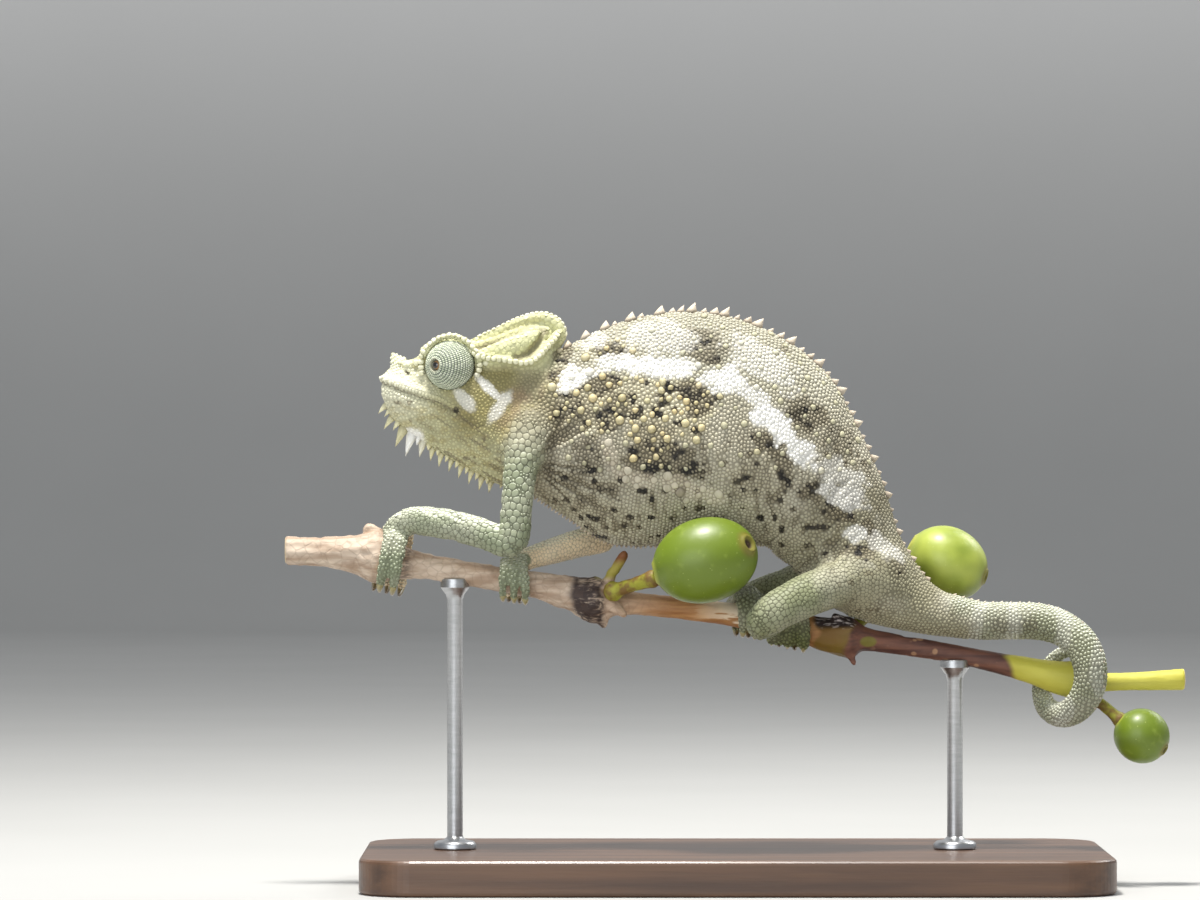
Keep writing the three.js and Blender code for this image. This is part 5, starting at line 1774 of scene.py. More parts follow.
class Graph:
    """The nodes of one material."""

    def __init__(self, name: str) -> None:
        """Starts an empty material with one surface.

        Args:
            name: the material's name.
        """
        self.result = bpy.data.materials.new(name)
        self.result.use_nodes = True
        self.tree = self.result.node_tree
        self.surface = self.tree.nodes["Principled BSDF"]

    def node(self, kind: str, settings: dict[str, object], inputs: dict[int | str, Input],
             output: int | str = 0) -> Value:
        """Adds a node.

        Args:
            kind: its type.
            settings: its own properties.
            inputs: what goes into its sockets.
            output: which of its outputs is wanted.

        Returns:
            That output.
        """
        made = self.tree.nodes.new(kind)
        for name, setting in settings.items():
            setattr(made, name, setting)
        for name, value in inputs.items():
            self.feed(made.inputs[name], value)
        return Value(self, made.outputs[output])

    def feed(self, socket: bpy.types.NodeSocket, value: Input) -> None:
        """Links a value to a socket, or sets the socket to a constant.

        Args:
            socket: the socket.
            value: the value or constant.
        """
        if isinstance(value, Value):
            self.tree.links.new(value.socket, socket)
        elif isinstance(value, tuple) and socket.type == "VECTOR":
            socket.default_value = value[:3]
        elif socket.type == "VECTOR":
            socket.default_value = (value,) * 3
        else:
            socket.default_value = value

    def place(self) -> Value:
        """Where the shaded point is, in metres."""
        return self.node("ShaderNodeTexCoord", {}, {}, "Object")

    def facing(self) -> Value:
        """The outward direction of the shaded point."""
        return self.node("ShaderNodeNewGeometry", {}, {}, "Normal")

    def layer(self, name: str) -> Value:
        """Three numbers stored with the mesh."""
        return self.node("ShaderNodeAttribute", {"attribute_name": name}, {}, "Vector")

    def noise(self, size: float, detail: float = 3.0, stretch: Point = (1, 1, 1)) -> Value:
        """Smooth noise from 0 to 1, whose hills are about so many mm apart."""
        spot = self.place() * stretch
        return self.node("ShaderNodeTexNoise", {}, {"Vector": spot, "Scale": 1000 / size, "Detail": detail})

    def cells(self, size: float, feature: str = "DISTANCE_TO_EDGE") -> Value:
        """Cells about so many mm across."""
        return self.node("ShaderNodeTexVoronoi", {"feature": feature}, {"Vector": self.place(), "Scale": 1000 / size})

    def bump(self, height: Value, depth: float) -> Value:
        """A relief of so many mm at most."""
        return self.node("ShaderNodeBump", {}, {"Height": height, "Strength": 1.0, "Distance": depth * MM})

    def finish(self, colour: Input, roughness: Input, normal: Value | None = None,
               **others: Input) -> bpy.types.Material:
        """Connects the surface.

        Args:
            colour: the base colour.
            roughness: from 0 for glossy to 1 for matt.
            normal: a relief.
            others: more of the surface's sockets, by name with underscores for spaces.

        Returns:
            The material.
        """
        sockets = {"Base Color": colour, "Roughness": roughness}
        sockets |= {name.replace("_", " "): value for name, value in others.items()}
        if normal is not None:
            sockets["Normal"] = normal
        for name, value in sockets.items():
            self.feed(self.surface.inputs[name], value)
        return self.result


class Finish:
    """A material that is made once and then shared."""

    def material(self) -> bpy.types.Material:
        """The material, made on first use.

        Returns:
            The material.
        """
        words = (value for value in vars(self).values() if isinstance(value, str))
        name = "_".join(["finish", type(self).__name__.lower(), *words])
        return bpy.data.materials.get(name) or self.build(Graph(name))

    def build(self, g: Graph) -> bpy.types.Material:
        """Adds the nodes."""
        raise NotImplementedError


@dataclass(frozen=True)
class Hide(Finish):
    """The chameleon's skin and scales, which carry the same markings."""

    body: tuple = rgb(176, 170, 149)
    head: tuple = rgb(184, 181, 142)
    limb: tuple = rgb(132, 139, 112)
    tail: tuple = rgb(132, 134, 108)
    white: tuple = rgb(240, 239, 234)
    tan: tuple = rgb(202, 194, 162)
    brown: tuple = rgb(118, 108, 84)
    black: tuple = rgb(34, 31, 27)
    furrow: float = 0.46

    def build(self, g: Graph) -> bpy.types.Material:
        """Regional colour with painted light on the upper sides of arms and tail, then markings with painted shade in
        folds, then the furrows between the scales, dark partly as painted shade.

        Args:
            g: the material's nodes.

        Returns:
            The material.
        """
        # the first layer's dark share holds painted shade in folds and creases as well as the dark markings
        dark, white, tan = g.layer("marks").parts()
        head, limb, tail = g.layer("body").parts()
        tone, rise, kind = g.layer("grain").parts()
        knob = kind.step(0.6, 0.75) * (1.0 - kind.step(0.8, 0.95))
        cone = kind.step(0.85, 0.97)
        x, y, z = g.place().parts()
        patch = g.noise(7.0, 2.0)
        # body, head, limbs and tail, with painted light on the upward-facing sides of arms and tail
        colour = head.mix(self.body, self.head)
        leg = x.step(-0.02, 0.004)
        _, facing, _ = g.facing().parts()
        inner = (facing * (1.0 - y.step(-0.0005, 0.0005) * 2.0)).step(0.0, 0.5) * (1.0 - leg)
        shin = z.step(0.0335, 0.0385).mix(rgb(96, 102, 56), rgb(130, 134, 102))
        colour = limb.mix(colour, inner.mix(leg.mix(self.limb, shin), rgb(226, 208, 176)))
        colour = tail.mix(colour, self.tail)
        # painted light: arms and tail are paler where they face upward, as if lit from above; the legs are left out
        _, _, upward = g.facing().parts()
        lit = (limb * (1.0 - leg) + tail) * upward.step(0.35, 0.95)
        colour = (lit * 0.75).mix(colour, rgb(226, 232, 212))
        # back, rump, belly and nape
        trunk = (1.0 - limb) * (1.0 - tail) * (1.0 - head)
        above = (z + x * 0.15).step(0.062, 0.074) * trunk
        colour = (above * (0.35 + 0.5 * patch)).mix(colour, rgb(182, 180, 162))
        rump = x.step(0.004, 0.014) * z.step(0.060, 0.054) * (1.0 - limb) * (1.0 - tail)
        colour = (rump * (0.5 + 0.5 * patch)).mix(colour, rgb(120, 115, 90))
        below = (z + x * 0.15).step(0.056, 0.047) * trunk
        colour = (below * 0.5).mix(colour, rgb(164, 160, 130))
        colour = (patch.step(0.45, 0.7) * 0.25 * (1.0 - head)).mix(colour, rgb(214, 210, 194))
        nape = x.step(-0.034, -0.0295) * x.step(-0.0225, -0.026) * z.step(0.0555, 0.060) * z.step(0.074, 0.070)
        nape = nape * (1.0 - limb)
        colour = (nape * z.step(0.061, 0.066) * (0.7 + 0.3 * patch)).mix(colour, rgb(138, 130, 100))
        # the head, from the groove under the helmet's rim, darkened tan-brown as painted shade, to the jaw
        under = z - x * 0.42
        # painted shade: a tan-brown band darkens the groove under the helmet's rim
        groove = head * x.step(-0.037, -0.035) * x.step(-0.026, -0.0275)
        groove = groove * (under.step(0.0899, 0.0905) - under.step(0.0911, 0.0917))
        colour = (groove * 0.7).mix(colour, rgb(176, 160, 100))
        snout = head * (x.step(-0.040, -0.0465) * z.step(0.062, 0.070) * 0.7)
        colour = snout.mix(colour, rgb(236, 234, 212))
        colour = (head * z.step(0.0715, 0.0735) * 0.7).mix(colour, rgb(205, 206, 160))
        cheek = head * x.step(-0.0415, -0.037) * x.step(-0.029, -0.032) * z.step(0.0735, 0.0715) * z.step(0.060, 0.065)
        colour = (cheek * 0.95).mix(colour, rgb(140, 132, 86))
        blush = head * x.step(-0.0355, -0.031) * z.step(0.062, 0.065) * z.step(0.0705, 0.0685)
        blush = blush * g.noise(2.2, 3.0, (1.0, 1.0, 0.5)).step(0.42, 0.6)
        colour = (blush * 0.5).mix(colour, rgb(140, 112, 90))
        jaw = head * z.step(0.0685, 0.0665) * g.noise(1.5, 3.0, (1.0, 0.6, 1.6)).step(0.46, 0.62)
        colour = (jaw * 0.4).mix(colour, rgb(160, 146, 92))
        # markings, whose dark share also holds painted shade in folds and creases
        colour = (tan * (0.3 + 0.5 * tone)).mix(colour, head.mix(self.tan, rgb(160, 151, 98)))
        colour = (dark.step(0.0, 0.6) * 0.7).mix(colour, self.brown)
        colour = (dark.step(0.6, 0.95) * (1.0 - tone.step(0.42, 0.62) * 0.7) * 0.94).mix(colour, self.black)
        flank = trunk * z.step(0.0645, 0.061) * x.step(0.0, -0.002)
        colour = (white * 0.95).mix(colour, flank.mix(self.white, rgb(222, 208, 186)))
        # knobs and spines; the head's beads are whitened partly as painted highlight
        tint = tan.step(0.2, 0.6).mix(rgb(176, 172, 142), tone.mix(rgb(186, 184, 148), rgb(206, 182, 130)))
        # painted highlight: the head's beads are made near white, partly their own pale colour
        tint = head.mix(tint, tone.mix(rgb(214, 212, 172), rgb(240, 238, 216)))
        colour = (knob * (1.0 - white * 0.8) * 0.8).mix(colour, tint)
        colour = (cone * (1.0 - white) * 0.6).mix(colour, head.mix(rgb(214, 196, 176), rgb(228, 222, 182)))
        # the furrows between the scales, dark partly as painted shade, and wrinkles drawn as painted shade
        roof = head * z.step(0.0715, 0.0735)
        hand = limb * z.step(0.049, 0.045)
        deep = (self.furrow + 0.5 * dark * (1.0 - white)) * (1.0 - head * 0.45)
        deep = deep * (1.0 - white * 0.6) * (1.0 - roof * 0.6)
        deep = deep * (1.0 - hand * (1.0 - leg) * 0.4) + limb * leg * 0.12
        # painted highlight: each scale is a little lighter towards its tip
        colour = colour * (0.84 + 0.28 * tone) * (1.0 + rise * 0.1)
        # painted shade: the skin between the scales and the low sides of each scale are darkened, more so in dark
        # markings
        colour = ((1.0 - rise.step(0.0, 0.6)) * deep).mix(colour, colour * (0.22, 0.2, 0.17))
        # painted shade: dark wrinkle lines low on the trunk, in colour only
        wrinkle = g.noise(0.62, 2.0, (1.0, 0.5, 0.2)).step(0.5, 0.64) * trunk * z.step(0.068, 0.060)
        colour = (wrinkle * 0.35 * (1.0 - white)).mix(colour, colour * (0.5, 0.46, 0.4))
        relief = g.noise(0.22, 2.0)
        rough = 0.56 + 0.16 * patch - 0.12 * rise
        return g.finish(colour, rough, g.bump(relief, 0.02), Specular_IOR_Level=0.38)


@dataclass(frozen=True)
class Lid(Finish):
    """The fine scales of the eye turrets."""

    def build(self, g: Graph) -> bpy.types.Material:
        """Grey-green scales with dark rings between them, dark partly as painted shade, and a pale edge round the
        opening.

        Args:
            g: the material's nodes.

        Returns:
            The material.
        """
        tone, rise, edge = g.layer("grain").parts()
        colour = tone.mix(rgb(176, 184, 158), rgb(222, 226, 204))
        colour = (edge * 0.5).mix(colour, rgb(120, 112, 90))
        # painted shade: the turret's own dark skin shows between the rings, and the low sides of each scale are
        # darkened
        shade = (1.0 - rise.step(-0.5, 0.5)) * 0.85
        colour = shade.mix(colour, rgb(64, 76, 70))
        return g.finish(colour, 0.5 - 0.1 * rise, g.bump(g.noise(0.15, 2.0), 0.01), Specular_IOR_Level=0.4)


@dataclass(frozen=True)
class EyeGlass(Finish):
    """The wet eyeball with its orange-brown iris round a dark pupil."""

    def build(self, g: Graph) -> bpy.types.Material:
        """Rings by the distance from the middle of the pupil.

        Args:
            g: the material's nodes.

        Returns:
            The material.
        """
        away, turn, _ = g.layer("grain").parts()
        streak = g.node("ShaderNodeTexNoise", {"noise_dimensions": "1D"}, {"W": turn * 40.0, "Scale": 1.0})
        iris = streak.mix(rgb(122, 84, 46), rgb(190, 148, 96))
        colour = away.step(0.6, 0.66).mix(rgb(9, 7, 6), iris)
        colour = away.step(0.8, 0.93).mix(colour, rgb(60, 42, 28))
        return g.finish(colour, 0.08, Coat_Weight=1.0, Coat_Roughness=0.03)


@dataclass(frozen=True)
class Keratin(Finish):
    """The claws: translucent brown horn, darker towards the tips."""

    def build(self, g: Graph) -> bpy.types.Material:
        """Colour by the distance along the claw.

        Args:
            g: the material's nodes.

        Returns:
            The material.
        """
        along, _, _ = g.layer("grain").parts()
        streak = g.noise(0.5, 2.0, (1, 1, 0.3))
        colour = (along + streak * 0.3).step(0.1, 1.0).mix(rgb(150, 140, 98), rgb(104, 84, 52))
        return g.finish(colour, 0.34, g.bump(streak, 0.03))


@dataclass(frozen=True)
class Bark(Finish):
    """The twig: grey-tan bark at the old end, then orange-brown, purple-brown and yellow-green wood."""

    def build(self, g: Graph) -> bpy.types.Material:
        """Colour along the twig, with streaks, cracks, lenticels, scars and pale cut ends.

        Args:
            g: the material's nodes.

        Returns:
            The material.
        """
        x, _, z = g.place().parts()
        streak = g.noise(1.1, 4.0, (0.14, 1, 1))
        patch = g.noise(5.0, 2.0, (0.5, 1, 1))
        fine = g.noise(0.35, 3.0, (0.3, 1, 1))
        at = x + (patch - 0.5) * 0.006
        colour = streak.step(0.3, 0.7).mix(rgb(160, 136, 114), rgb(204, 186, 166))
        warm = streak.step(0.3, 0.7).mix(rgb(146, 98, 54), rgb(190, 142, 90))
        dark = streak.step(0.3, 0.75).mix(rgb(74, 46, 40), rgb(122, 80, 62))
        green = patch.mix(rgb(176, 166, 44), rgb(200, 196, 84))
        colour = at.step(-0.022, -0.006).mix(colour, warm)
        peeled = at.step(-0.006, 0.001) * at.step(0.009, 0.004) * streak.step(0.5, 0.56)
        colour = peeled.mix(colour, rgb(238, 222, 196))
        # the purple-brown stretch, with the bud and the leaf scar of its node
        colour = at.step(0.010, 0.015).mix(colour, dark)
        bud = at.step(0.0098, 0.0108) * at.step(0.0162, 0.015)
        colour = (bud * z.step(0.0374, 0.0364)).mix(colour, patch.mix(rgb(118, 76, 24), rgb(104, 98, 28)))
        upper = bud * z.step(0.0357, 0.0365)
        colour = upper.mix(colour, fine.step(0.5, 0.65).mix(rgb(44, 32, 32), rgb(180, 170, 166)))
        leafy = (x - 0.0186) * (x - 0.0186) * 0.4 + (z - 0.0341) * (z - 0.0341)
        colour = leafy.step(0.75e-6, 0.3e-6).mix(colour, rgb(112, 104, 40))
        spots = g.cells(2.3, "F1").step(0.27, 0.19) * at.step(0.018, 0.022)
        colour = (spots * 0.55).mix(colour, rgb(188, 146, 108))
        # the green end, scars, cracks, the dried sprig and the cut ends
        colour = (at + (z - 0.030) * 0.5).step(0.0375, 0.0390).mix(colour, green)
        colour = (at.step(0.0395, 0.041) * fine.step(0.7, 0.76)).mix(colour, rgb(126, 92, 48))
        scars = at.step(-0.0235, -0.0222) * at.step(-0.0182, -0.0192) * (patch + fine * 0.5).step(0.55, 0.75)
        scars = scars + at.step(-0.049, -0.0475) * at.step(-0.0445, -0.046) * fine.step(0.4, 0.6) * 0.6
        colour = scars.mix(colour, rgb(52, 38, 34))
        crack = g.cells(1.5).step(0.09, 0.02) * at.step(0.0, -0.02)
        colour = (crack * streak * 0.3).mix(colour, rgb(92, 70, 54))
        sprig = z.step(0.0425, 0.0435) * x.step(-0.020, -0.019) * x.step(-0.0135, -0.0145)
        colour = sprig.mix(colour, z.step(0.0445, 0.046).mix(rgb(150, 140, 60), rgb(116, 70, 34)))
        ends = (x * x).step(0.06285 ** 2, 0.0629 ** 2)
        colour = ends.mix(colour, (streak * 0.6).mix(rgb(226, 206, 160), rgb(170, 138, 92)))
        relief = streak * 0.7 + fine * 0.4 - crack * 0.25
        return g.finish(colour, 0.5 + 0.25 * streak, g.bump(relief, 0.1))


@dataclass(frozen=True)
class Fruit(Finish):
    """The skin of an unripe coffee cherry, greener or yellower."""

    name: str
    yellow: float

    def build(self, g: Graph) -> bpy.types.Material:
        """Green skin with pale freckles, a brown scar at one end and a paler stalk end.

        Args:
            g: the material's nodes.

        Returns:
            The material.
        """
        scar, stalk, _ = g.layer("grain").parts()
        patch, vein = g.noise(6.0, 2.0), g.noise(1.4, 3.0)
        colour = (patch + self.yellow - 0.5).step(0.1, 0.95).mix(rgb(100, 120, 22), rgb(182, 192, 84))
        colour = (vein.step(0.55, 0.8) * 0.25).mix(colour, rgb(170, 188, 84))
        colour = (g.cells(0.9, "F1").step(0.12, 0.06) * 0.35).mix(colour, rgb(196, 206, 120))
        colour = stalk.step(0.14, 0.05).mix(colour, rgb(176, 178, 76))
        colour = (scar.step(0.13, 0.075) * 0.7).mix(colour, rgb(120, 104, 40))
        colour = scar.step(0.045, 0.03).mix(colour, rgb(64, 46, 26))
        rough = 0.38 + 0.12 * vein + 0.4 * scar.step(0.07, 0.05)
        return g.finish(colour, rough, g.bump(vein, 0.04), Coat_Weight=0.12, Coat_Roughness=0.25)


@dataclass(frozen=True)
class Stalk(Finish):
    """The short fruit stalks."""

    def build(self, g: Graph) -> bpy.types.Material:
        """Olive green with brown joints.

        Args:
            g: the material's nodes.

        Returns:
            The material.
        """
        patch, fine = g.noise(1.6, 3.0), g.noise(0.4, 2.0)
        colour = patch.step(0.35, 0.62).mix(rgb(150, 150, 44), rgb(112, 84, 36))
        return g.finish(colour, 0.6, g.bump(fine, 0.08))


@dataclass(frozen=True)
class Wood(Finish):
    """The stand's dark satin wood."""

    def build(self, g: Graph) -> bpy.types.Material:
        """Grain along the base.

        Args:
            g: the material's nodes.

        Returns:
            The material.
        """
        grain = g.noise(2.6, 5.0, (0.05, 1, 1))
        pore = g.noise(0.5, 2.0, (0.06, 1, 1))
        colour = (grain.step(0.3, 0.7) * 0.8 + pore * 0.2).mix(rgb(62, 42, 30), rgb(104, 74, 52))
        return g.finish(colour, 0.38 + 0.12 * pore, g.bump(pore, 0.03), Coat_Weight=0.3, Coat_Roughness=0.25)


@dataclass(frozen=True)
class Steel(Finish):
    """The brushed rods."""

    def build(self, g: Graph) -> bpy.types.Material:
        """Fine rings round the rod.

        Args:
            g: the material's nodes.

        Returns:
            The material.
        """
        brush = g.noise(0.3, 3.0, (0.2, 0.2, 1))
        colour = brush.mix(rgb(158, 160, 162), rgb(200, 201, 203))
        return g.finish(colour, 0.26 + 0.14 * brush, g.bump(brush, 0.01), Metallic=1.0)


@dataclass(frozen=True)
class Paper(Finish):
    """The plain floor and backdrop."""

    def build(self, g: Graph) -> bpy.types.Material:
        """Almost even pale grey; the backdrop above the floor glows as painted light, though it is no lamp.

        Args:
            g: the material's nodes.

        Returns:
            The material.
        """
        colour = g.noise(60.0, 2.0).mix(rgb(172, 172, 170), rgb(178, 178, 176))
        # painted light: the backdrop glows more the higher it rises, which brightens it and the model
        glow = g.place().parts()[2].step(0.02, 0.5) * 0.58
        return g.finish(colour, 0.9, Emission_Color=glow.mix((0, 0, 0, 1), (1.0, 1.0, 1.0, 1)), Emission_Strength=1.0)


# ------------------------------------------------------------------ eyes, horn and claws
def small_scales(name: str, loops: Array, pitch: float, radius: float, finish: Finish,
                 others: dict[str, Sequence[float]]) -> bpy.types.Object:
    """Granules in rings over a turned form.

    Args:
        name: the piece's name.
        loops: points, outward directions and places on the unwrap, by loop and place along it.
        pitch: the spacing along a loop, in mm.
        radius: a granule's radius.
        finish: what they are made of.
        others: what the finish reads besides the grain, the same at every point.

    Returns:
        The object.
    """
    rows = lattice(loops, pitch, 3, 0.2)
    scales = Scales.make(rows[:, :3], radius, 0.5 * radius, Form.GRANULE)
    scales.normals = unit(rows[:, 3:6])
    chosen, gap = np.arange(len(rows)), np.full(len(rows), 0.022)
    mesh = scale_mesh(scales, neighbours(scales.places, 12), chosen, Form.GRANULE, gap, 0.1)
    rows, rise = rows[mesh["scale"]], mesh["rise"]
    layers = {title: np.tile(np.array(values, float), (len(rise), 1)) for title, values in others.items()}
    layers["grain"] = columns(hashed(np.round(rows[:, :3] * 400).astype(int), 5), rise, 0)
    return new_mesh(name, mesh["points"], mesh["triangles"], finish, layers, rows[:, 6:8] + PATCH * mesh["offset"])


def unwrapped(points: Array, normals: Array) -> Array:
    """Loops of points with their outward directions and their places on an unwrap.

    Args:
        points: places by loop and side.
        normals: the outward directions there.

    Returns:
        Eight columns by loop and side.
    """
    count, sides = points.shape[:2]
    u, v = np.linspace(0.02, 0.98, count)[:, None], 0.02 + 0.96 * np.abs(np.arange(sides) / sides * 2 - 1)
    return np.concatenate([points, normals, columns(u, v)], -1)


def arc(radius: float, angle: Array) -> Array:
    """A profile of (forward, radius) on a circle, at angles from its front."""
    return columns(radius * np.cos(angle), radius * np.sin(angle))


def turned(axis: Array, start: Array, profile: Array, sides: int) -> Array:
    """Rings round an axis.

    Args:
        axis: the axis, of length one.
        start: a direction that is square to the first point of each ring.
        profile: rows of (forward, radius).
        sides: points around a ring.

    Returns:
        Points, by ring and side.
    """
    across, turn = unit(np.cross(start, axis)), circle(sides)[:, None]
    way = across * np.cos(turn) + np.cross(axis, across) * np.sin(turn)
    return axis * profile[:, :1, None] + way * profile[:, 1:, None]


def with_poles(grain: Array) -> Array:
    """Rows for a shell's points, continued to its two poles."""
    return np.vstack([grain, grain[:1], grain[-1:]])


@dataclass
class Eye:
    """One eye: the scaled turret with its round lid, and the eyeball in its opening."""

    side: int
    radius: float = EYE_RADIUS - 0.06
    ball_radius: float = EYE_HOLE - 0.09
    pitch: float = 0.43

    @property
    def name(self) -> str:
        """Which eye it is."""
        return "left" if self.side < 0 else "right"

    @property
    def centre(self) -> Array:
        """The middle of the turret."""
        return np.array(EYE_AT) * [1, self.side, 1]

    def rings(self, profile: Array, sides: int, back: float = 0.0) -> Array:
        """Rings round the eye's axis, which may look a little further back, from rows of (forward, radius)."""
        ahead = np.array([-math.sin(EYE_FORWARD), self.side * math.cos(EYE_FORWARD), 0.0])
        return turned(unit(ahead + back * AHEAD), UP, profile, sides)

    @staticmethod
    def closed(rings: Array, middle: Array, push: float = 1.0) -> Shell:
        """A shell over rings about a middle, with its poles pushed out by a factor."""
        return loft(rings + middle, *(middle + rings[end].mean(0) * push for end in (0, -1)))

    def turret(self) -> None:
        """Makes the turret with its thick lid."""
        r = self.radius
        rim = [(r - 0.9, 0.8), (r - 0.45, 0.8), (r - 0.2, 0.83), (r - 0.06, 0.92), (r - 0.09, 1.02)]
        rings = self.rings(np.vstack([rim, arc(r, np.radians(np.linspace(17, 128, 60)))]), 96)
        edge = np.repeat([1.0] * 5 + [0.0] * 60, 96)
        grain = with_poles(columns(0.5, 1.3 * edge - 0.5, edge))
        piece = from_shell(f"turret_{self.name}", self.closed(rings, self.centre), Lid(), grain)
        own(piece, "eye_skin", f"eye_turret_{self.name}")

    def scales(self) -> None:
        """Makes the turret's scales."""
        angle = np.arange(math.radians(19.0), math.radians(118), self.pitch / self.radius)
        loops = self.rings(arc(self.radius, angle), 80)
        places = unwrapped(loops + self.centre, unit(loops))
        own(small_scales(f"turret_scales_{self.name}", places, 0.29, 0.185, Lid(), {}), "eye_skin")

    def eyeball(self) -> None:
        """Makes the eyeball, with the distance from the pupil's middle and the turn about it."""
        angle = np.radians(np.linspace(4, 176, 40))
        middle = self.centre + self.rings(np.array([(EYE_RADIUS - 0.86, 0.0)]), 4)[0, 0]
        shell = self.closed(self.rings(arc(self.ball_radius, angle), 48, 0.06), middle, 1.003)
        away, turn = np.repeat(np.sin(np.minimum(angle, np.pi / 2)), 48), np.tile(np.abs(np.arange(48) / 24 - 1), 40)
        grain = np.vstack([columns(away, turn, 0), [[0, 0, 0], [1, 0, 0]]])
        own(from_shell(f"eye_{self.name}", shell, EyeGlass(), grain), "eyeball", f"eyeball_{self.name}")

    def build(self) -> None:
        """Makes turret, scales and eyeball."""
        self.turret()
        self.scales()
        self.eyeball()


@dataclass
class Horn:
    """The scaled knob on the snout."""

    rows: Rows = ((-46.7, 0, 71.8, 1.8), (-47.0, 0, 72.8, 1.4), (-47.5, 0, 73.6, 0.8), (-47.85, 0, 74.2, 0.36))
    core: float = 0.96

    def build(self) -> None:
        """Makes the knob and its scales."""
        rows = spaced(self.rows, 0.16)
        _, across, up = frames_along(rows[:, :3], AHEAD)
        loops = ring(rows[:, :3], across, up, (rows[:, 3] * self.core,) * 3, (2, 2), 40)
        shell = tube(rows * [1, 1, 1, self.core], 32)
        head = np.tile(AHEAD, (len(shell.points), 1))
        flat = {"marks": 0 * head, "body": head, "grain": head * 0.5}
        own(new_mesh("snout_knob", shell.points, shell.triangles, Hide(), flat), "horn", "rostral_horn")
        places = unwrapped(loops[:-2:3], unit(loops - rows[:, None, :3])[:-2:3])
        pale = {"marks": (0, 0.35, 0), "body": (1, 0, 0)}
        own(small_scales("snout_knob_scales", places, 0.4, 0.25, Hide(), pale), "horn")


@dataclass
class Claws:
    """The claws of one foot, curved round the twig."""

    limb: Limb

    def build(self) -> None:
        """Makes the foot's five claws as one piece."""
        foot, owner = self.limb.foot, self.limb.name.split("_")[0]
        end = "foot" if self.limb.leg else "hand"
        thick = 0.36 if self.limb.name == "left_leg" else 0.54
        share = np.linspace(0, 1, 9)
        angle = TOE_END - 4 + (CLAW_END - TOE_END + 8) * share
        points, faces, grain, names, seen = [], [], [], [], {}
        for side, offset in foot.toes():
            bundle = "outer" if side == foot.outer else "inner"
            seen[bundle] = seen.get(bundle, 0) + 1
            names.append(f"claw_{end}_{owner}_{bundle}_{seen[bundle]}")
            size = thick * foot.toe * (1 - share) ** 0.75 + 0.06
            path = beside_twig(foot, side, offset, angle, 0.05 - 0.22 * share ** 2)
            shell = tube(np.column_stack([path, size]), 14)
            faces.append(shell.triangles + sum(map(len, points)))
            points.append(shell.points)
            grain.append(columns(((shell.points[:, None] - path) ** 2).sum(-1).argmin(1) / 8, 0, 0))
        whole = Shell(np.vstack(points), np.vstack(faces))
        own(from_shell(f"claws_{end}_{owner}", whole, Keratin(), np.vstack(grain)), "claw", *names)


# ------------------------------------------------------------------ twig and fruit
@dataclass
class Perch:
    """The coffee twig, cut short, with its nodes, stubs and scars."""

    stubs: tuple[Rows, ...] = (
        ((-18.6, -0.6, 40.8, 1.2), (-17.4, -2.6, 43.2, 0.8), (-15.6, -4.5, 46.2, 0.7)),
        ((-18.8, -0.4, 38.4, 1.2), (-18.4, -0.5, 36.4, 0.6)),
        ((-17.2, -1.6, 39.2, 1.1), (-15.6, -3.0, 38.0, 0.5)),
        ((15.4, -0.8, 33.4, 0.9), (16.6, -0.8, 31.2, 0.5)),
        ((15.2, -0.6, 36.6, 0.8), (14.0, -1.4, 37.6, 0.6)),
        ((-49.6, 0.5, 48.4, 1.0), (-51.2, 0.8, 49.8, 0.9)),
        ((47.6, -0.8, 27.2, 0.8), (48.3, -1.0, 26.6, 0.7)),
    )
    collars: Rows = ((-50.0, 46.0, 3.4, 0.9), (-19.6, 39.9, 2.9, 0.8), (15.9, 34.7, 2.5, 0.7), (47.3, 28.7, 2.3, 0.6))
    half_length: float = 63.0

    def build(self) -> None:
        """Makes the twig."""
        volume = Volume((-64.8, -6.6, 24.5), (64.8, 6.6, 53.0), 0.28, 6)
        rows = spaced(TWIG, 0.7)
        rows[:, 3] *= 1 + 0.035 * noise(rows[:, :3], 2.2, 81)
        volume.weld(tube(rows, 26), 0.1)
        for x, z, radius, thick in self.collars:
            volume.weld(ball((x, 0, z), (thick, radius, radius)), 1.0)
            volume.weld(ball((x + 0.9, 0.3, z - 0.4), (thick * 0.8, radius * 0.93, radius * 0.9)), 0.6)
        for stub in self.stubs:
            volume.weld(tube(spaced(stub, 0.3), 16), 0.5)
        x = volume.places(tuple(slice(0, count) for count in volume.values.shape))[..., 0]
        volume.values = np.maximum(volume.values, np.abs(x) - self.half_length).astype(np.float32)
        sheet = Sheet(volume, 0.02, 1)
        p = sheet.points
        x = p[:, 0]
        rough = ease(0, -30, x) + 0.5 * ease(38, 16, x) * ease(8, 14, x)
        relief = noise(p * [0.16, 1, 1], 0.8, 82) + 0.6 * noise(p, 0.7, 83)
        push = (0.05 + 0.13 * rough) * relief * (np.abs(x) < self.half_length - 0.4)
        own(new_mesh("twig", p + sheet.normals * push[:, None], sheet.quads, Bark()), "bark", "perch_twig")


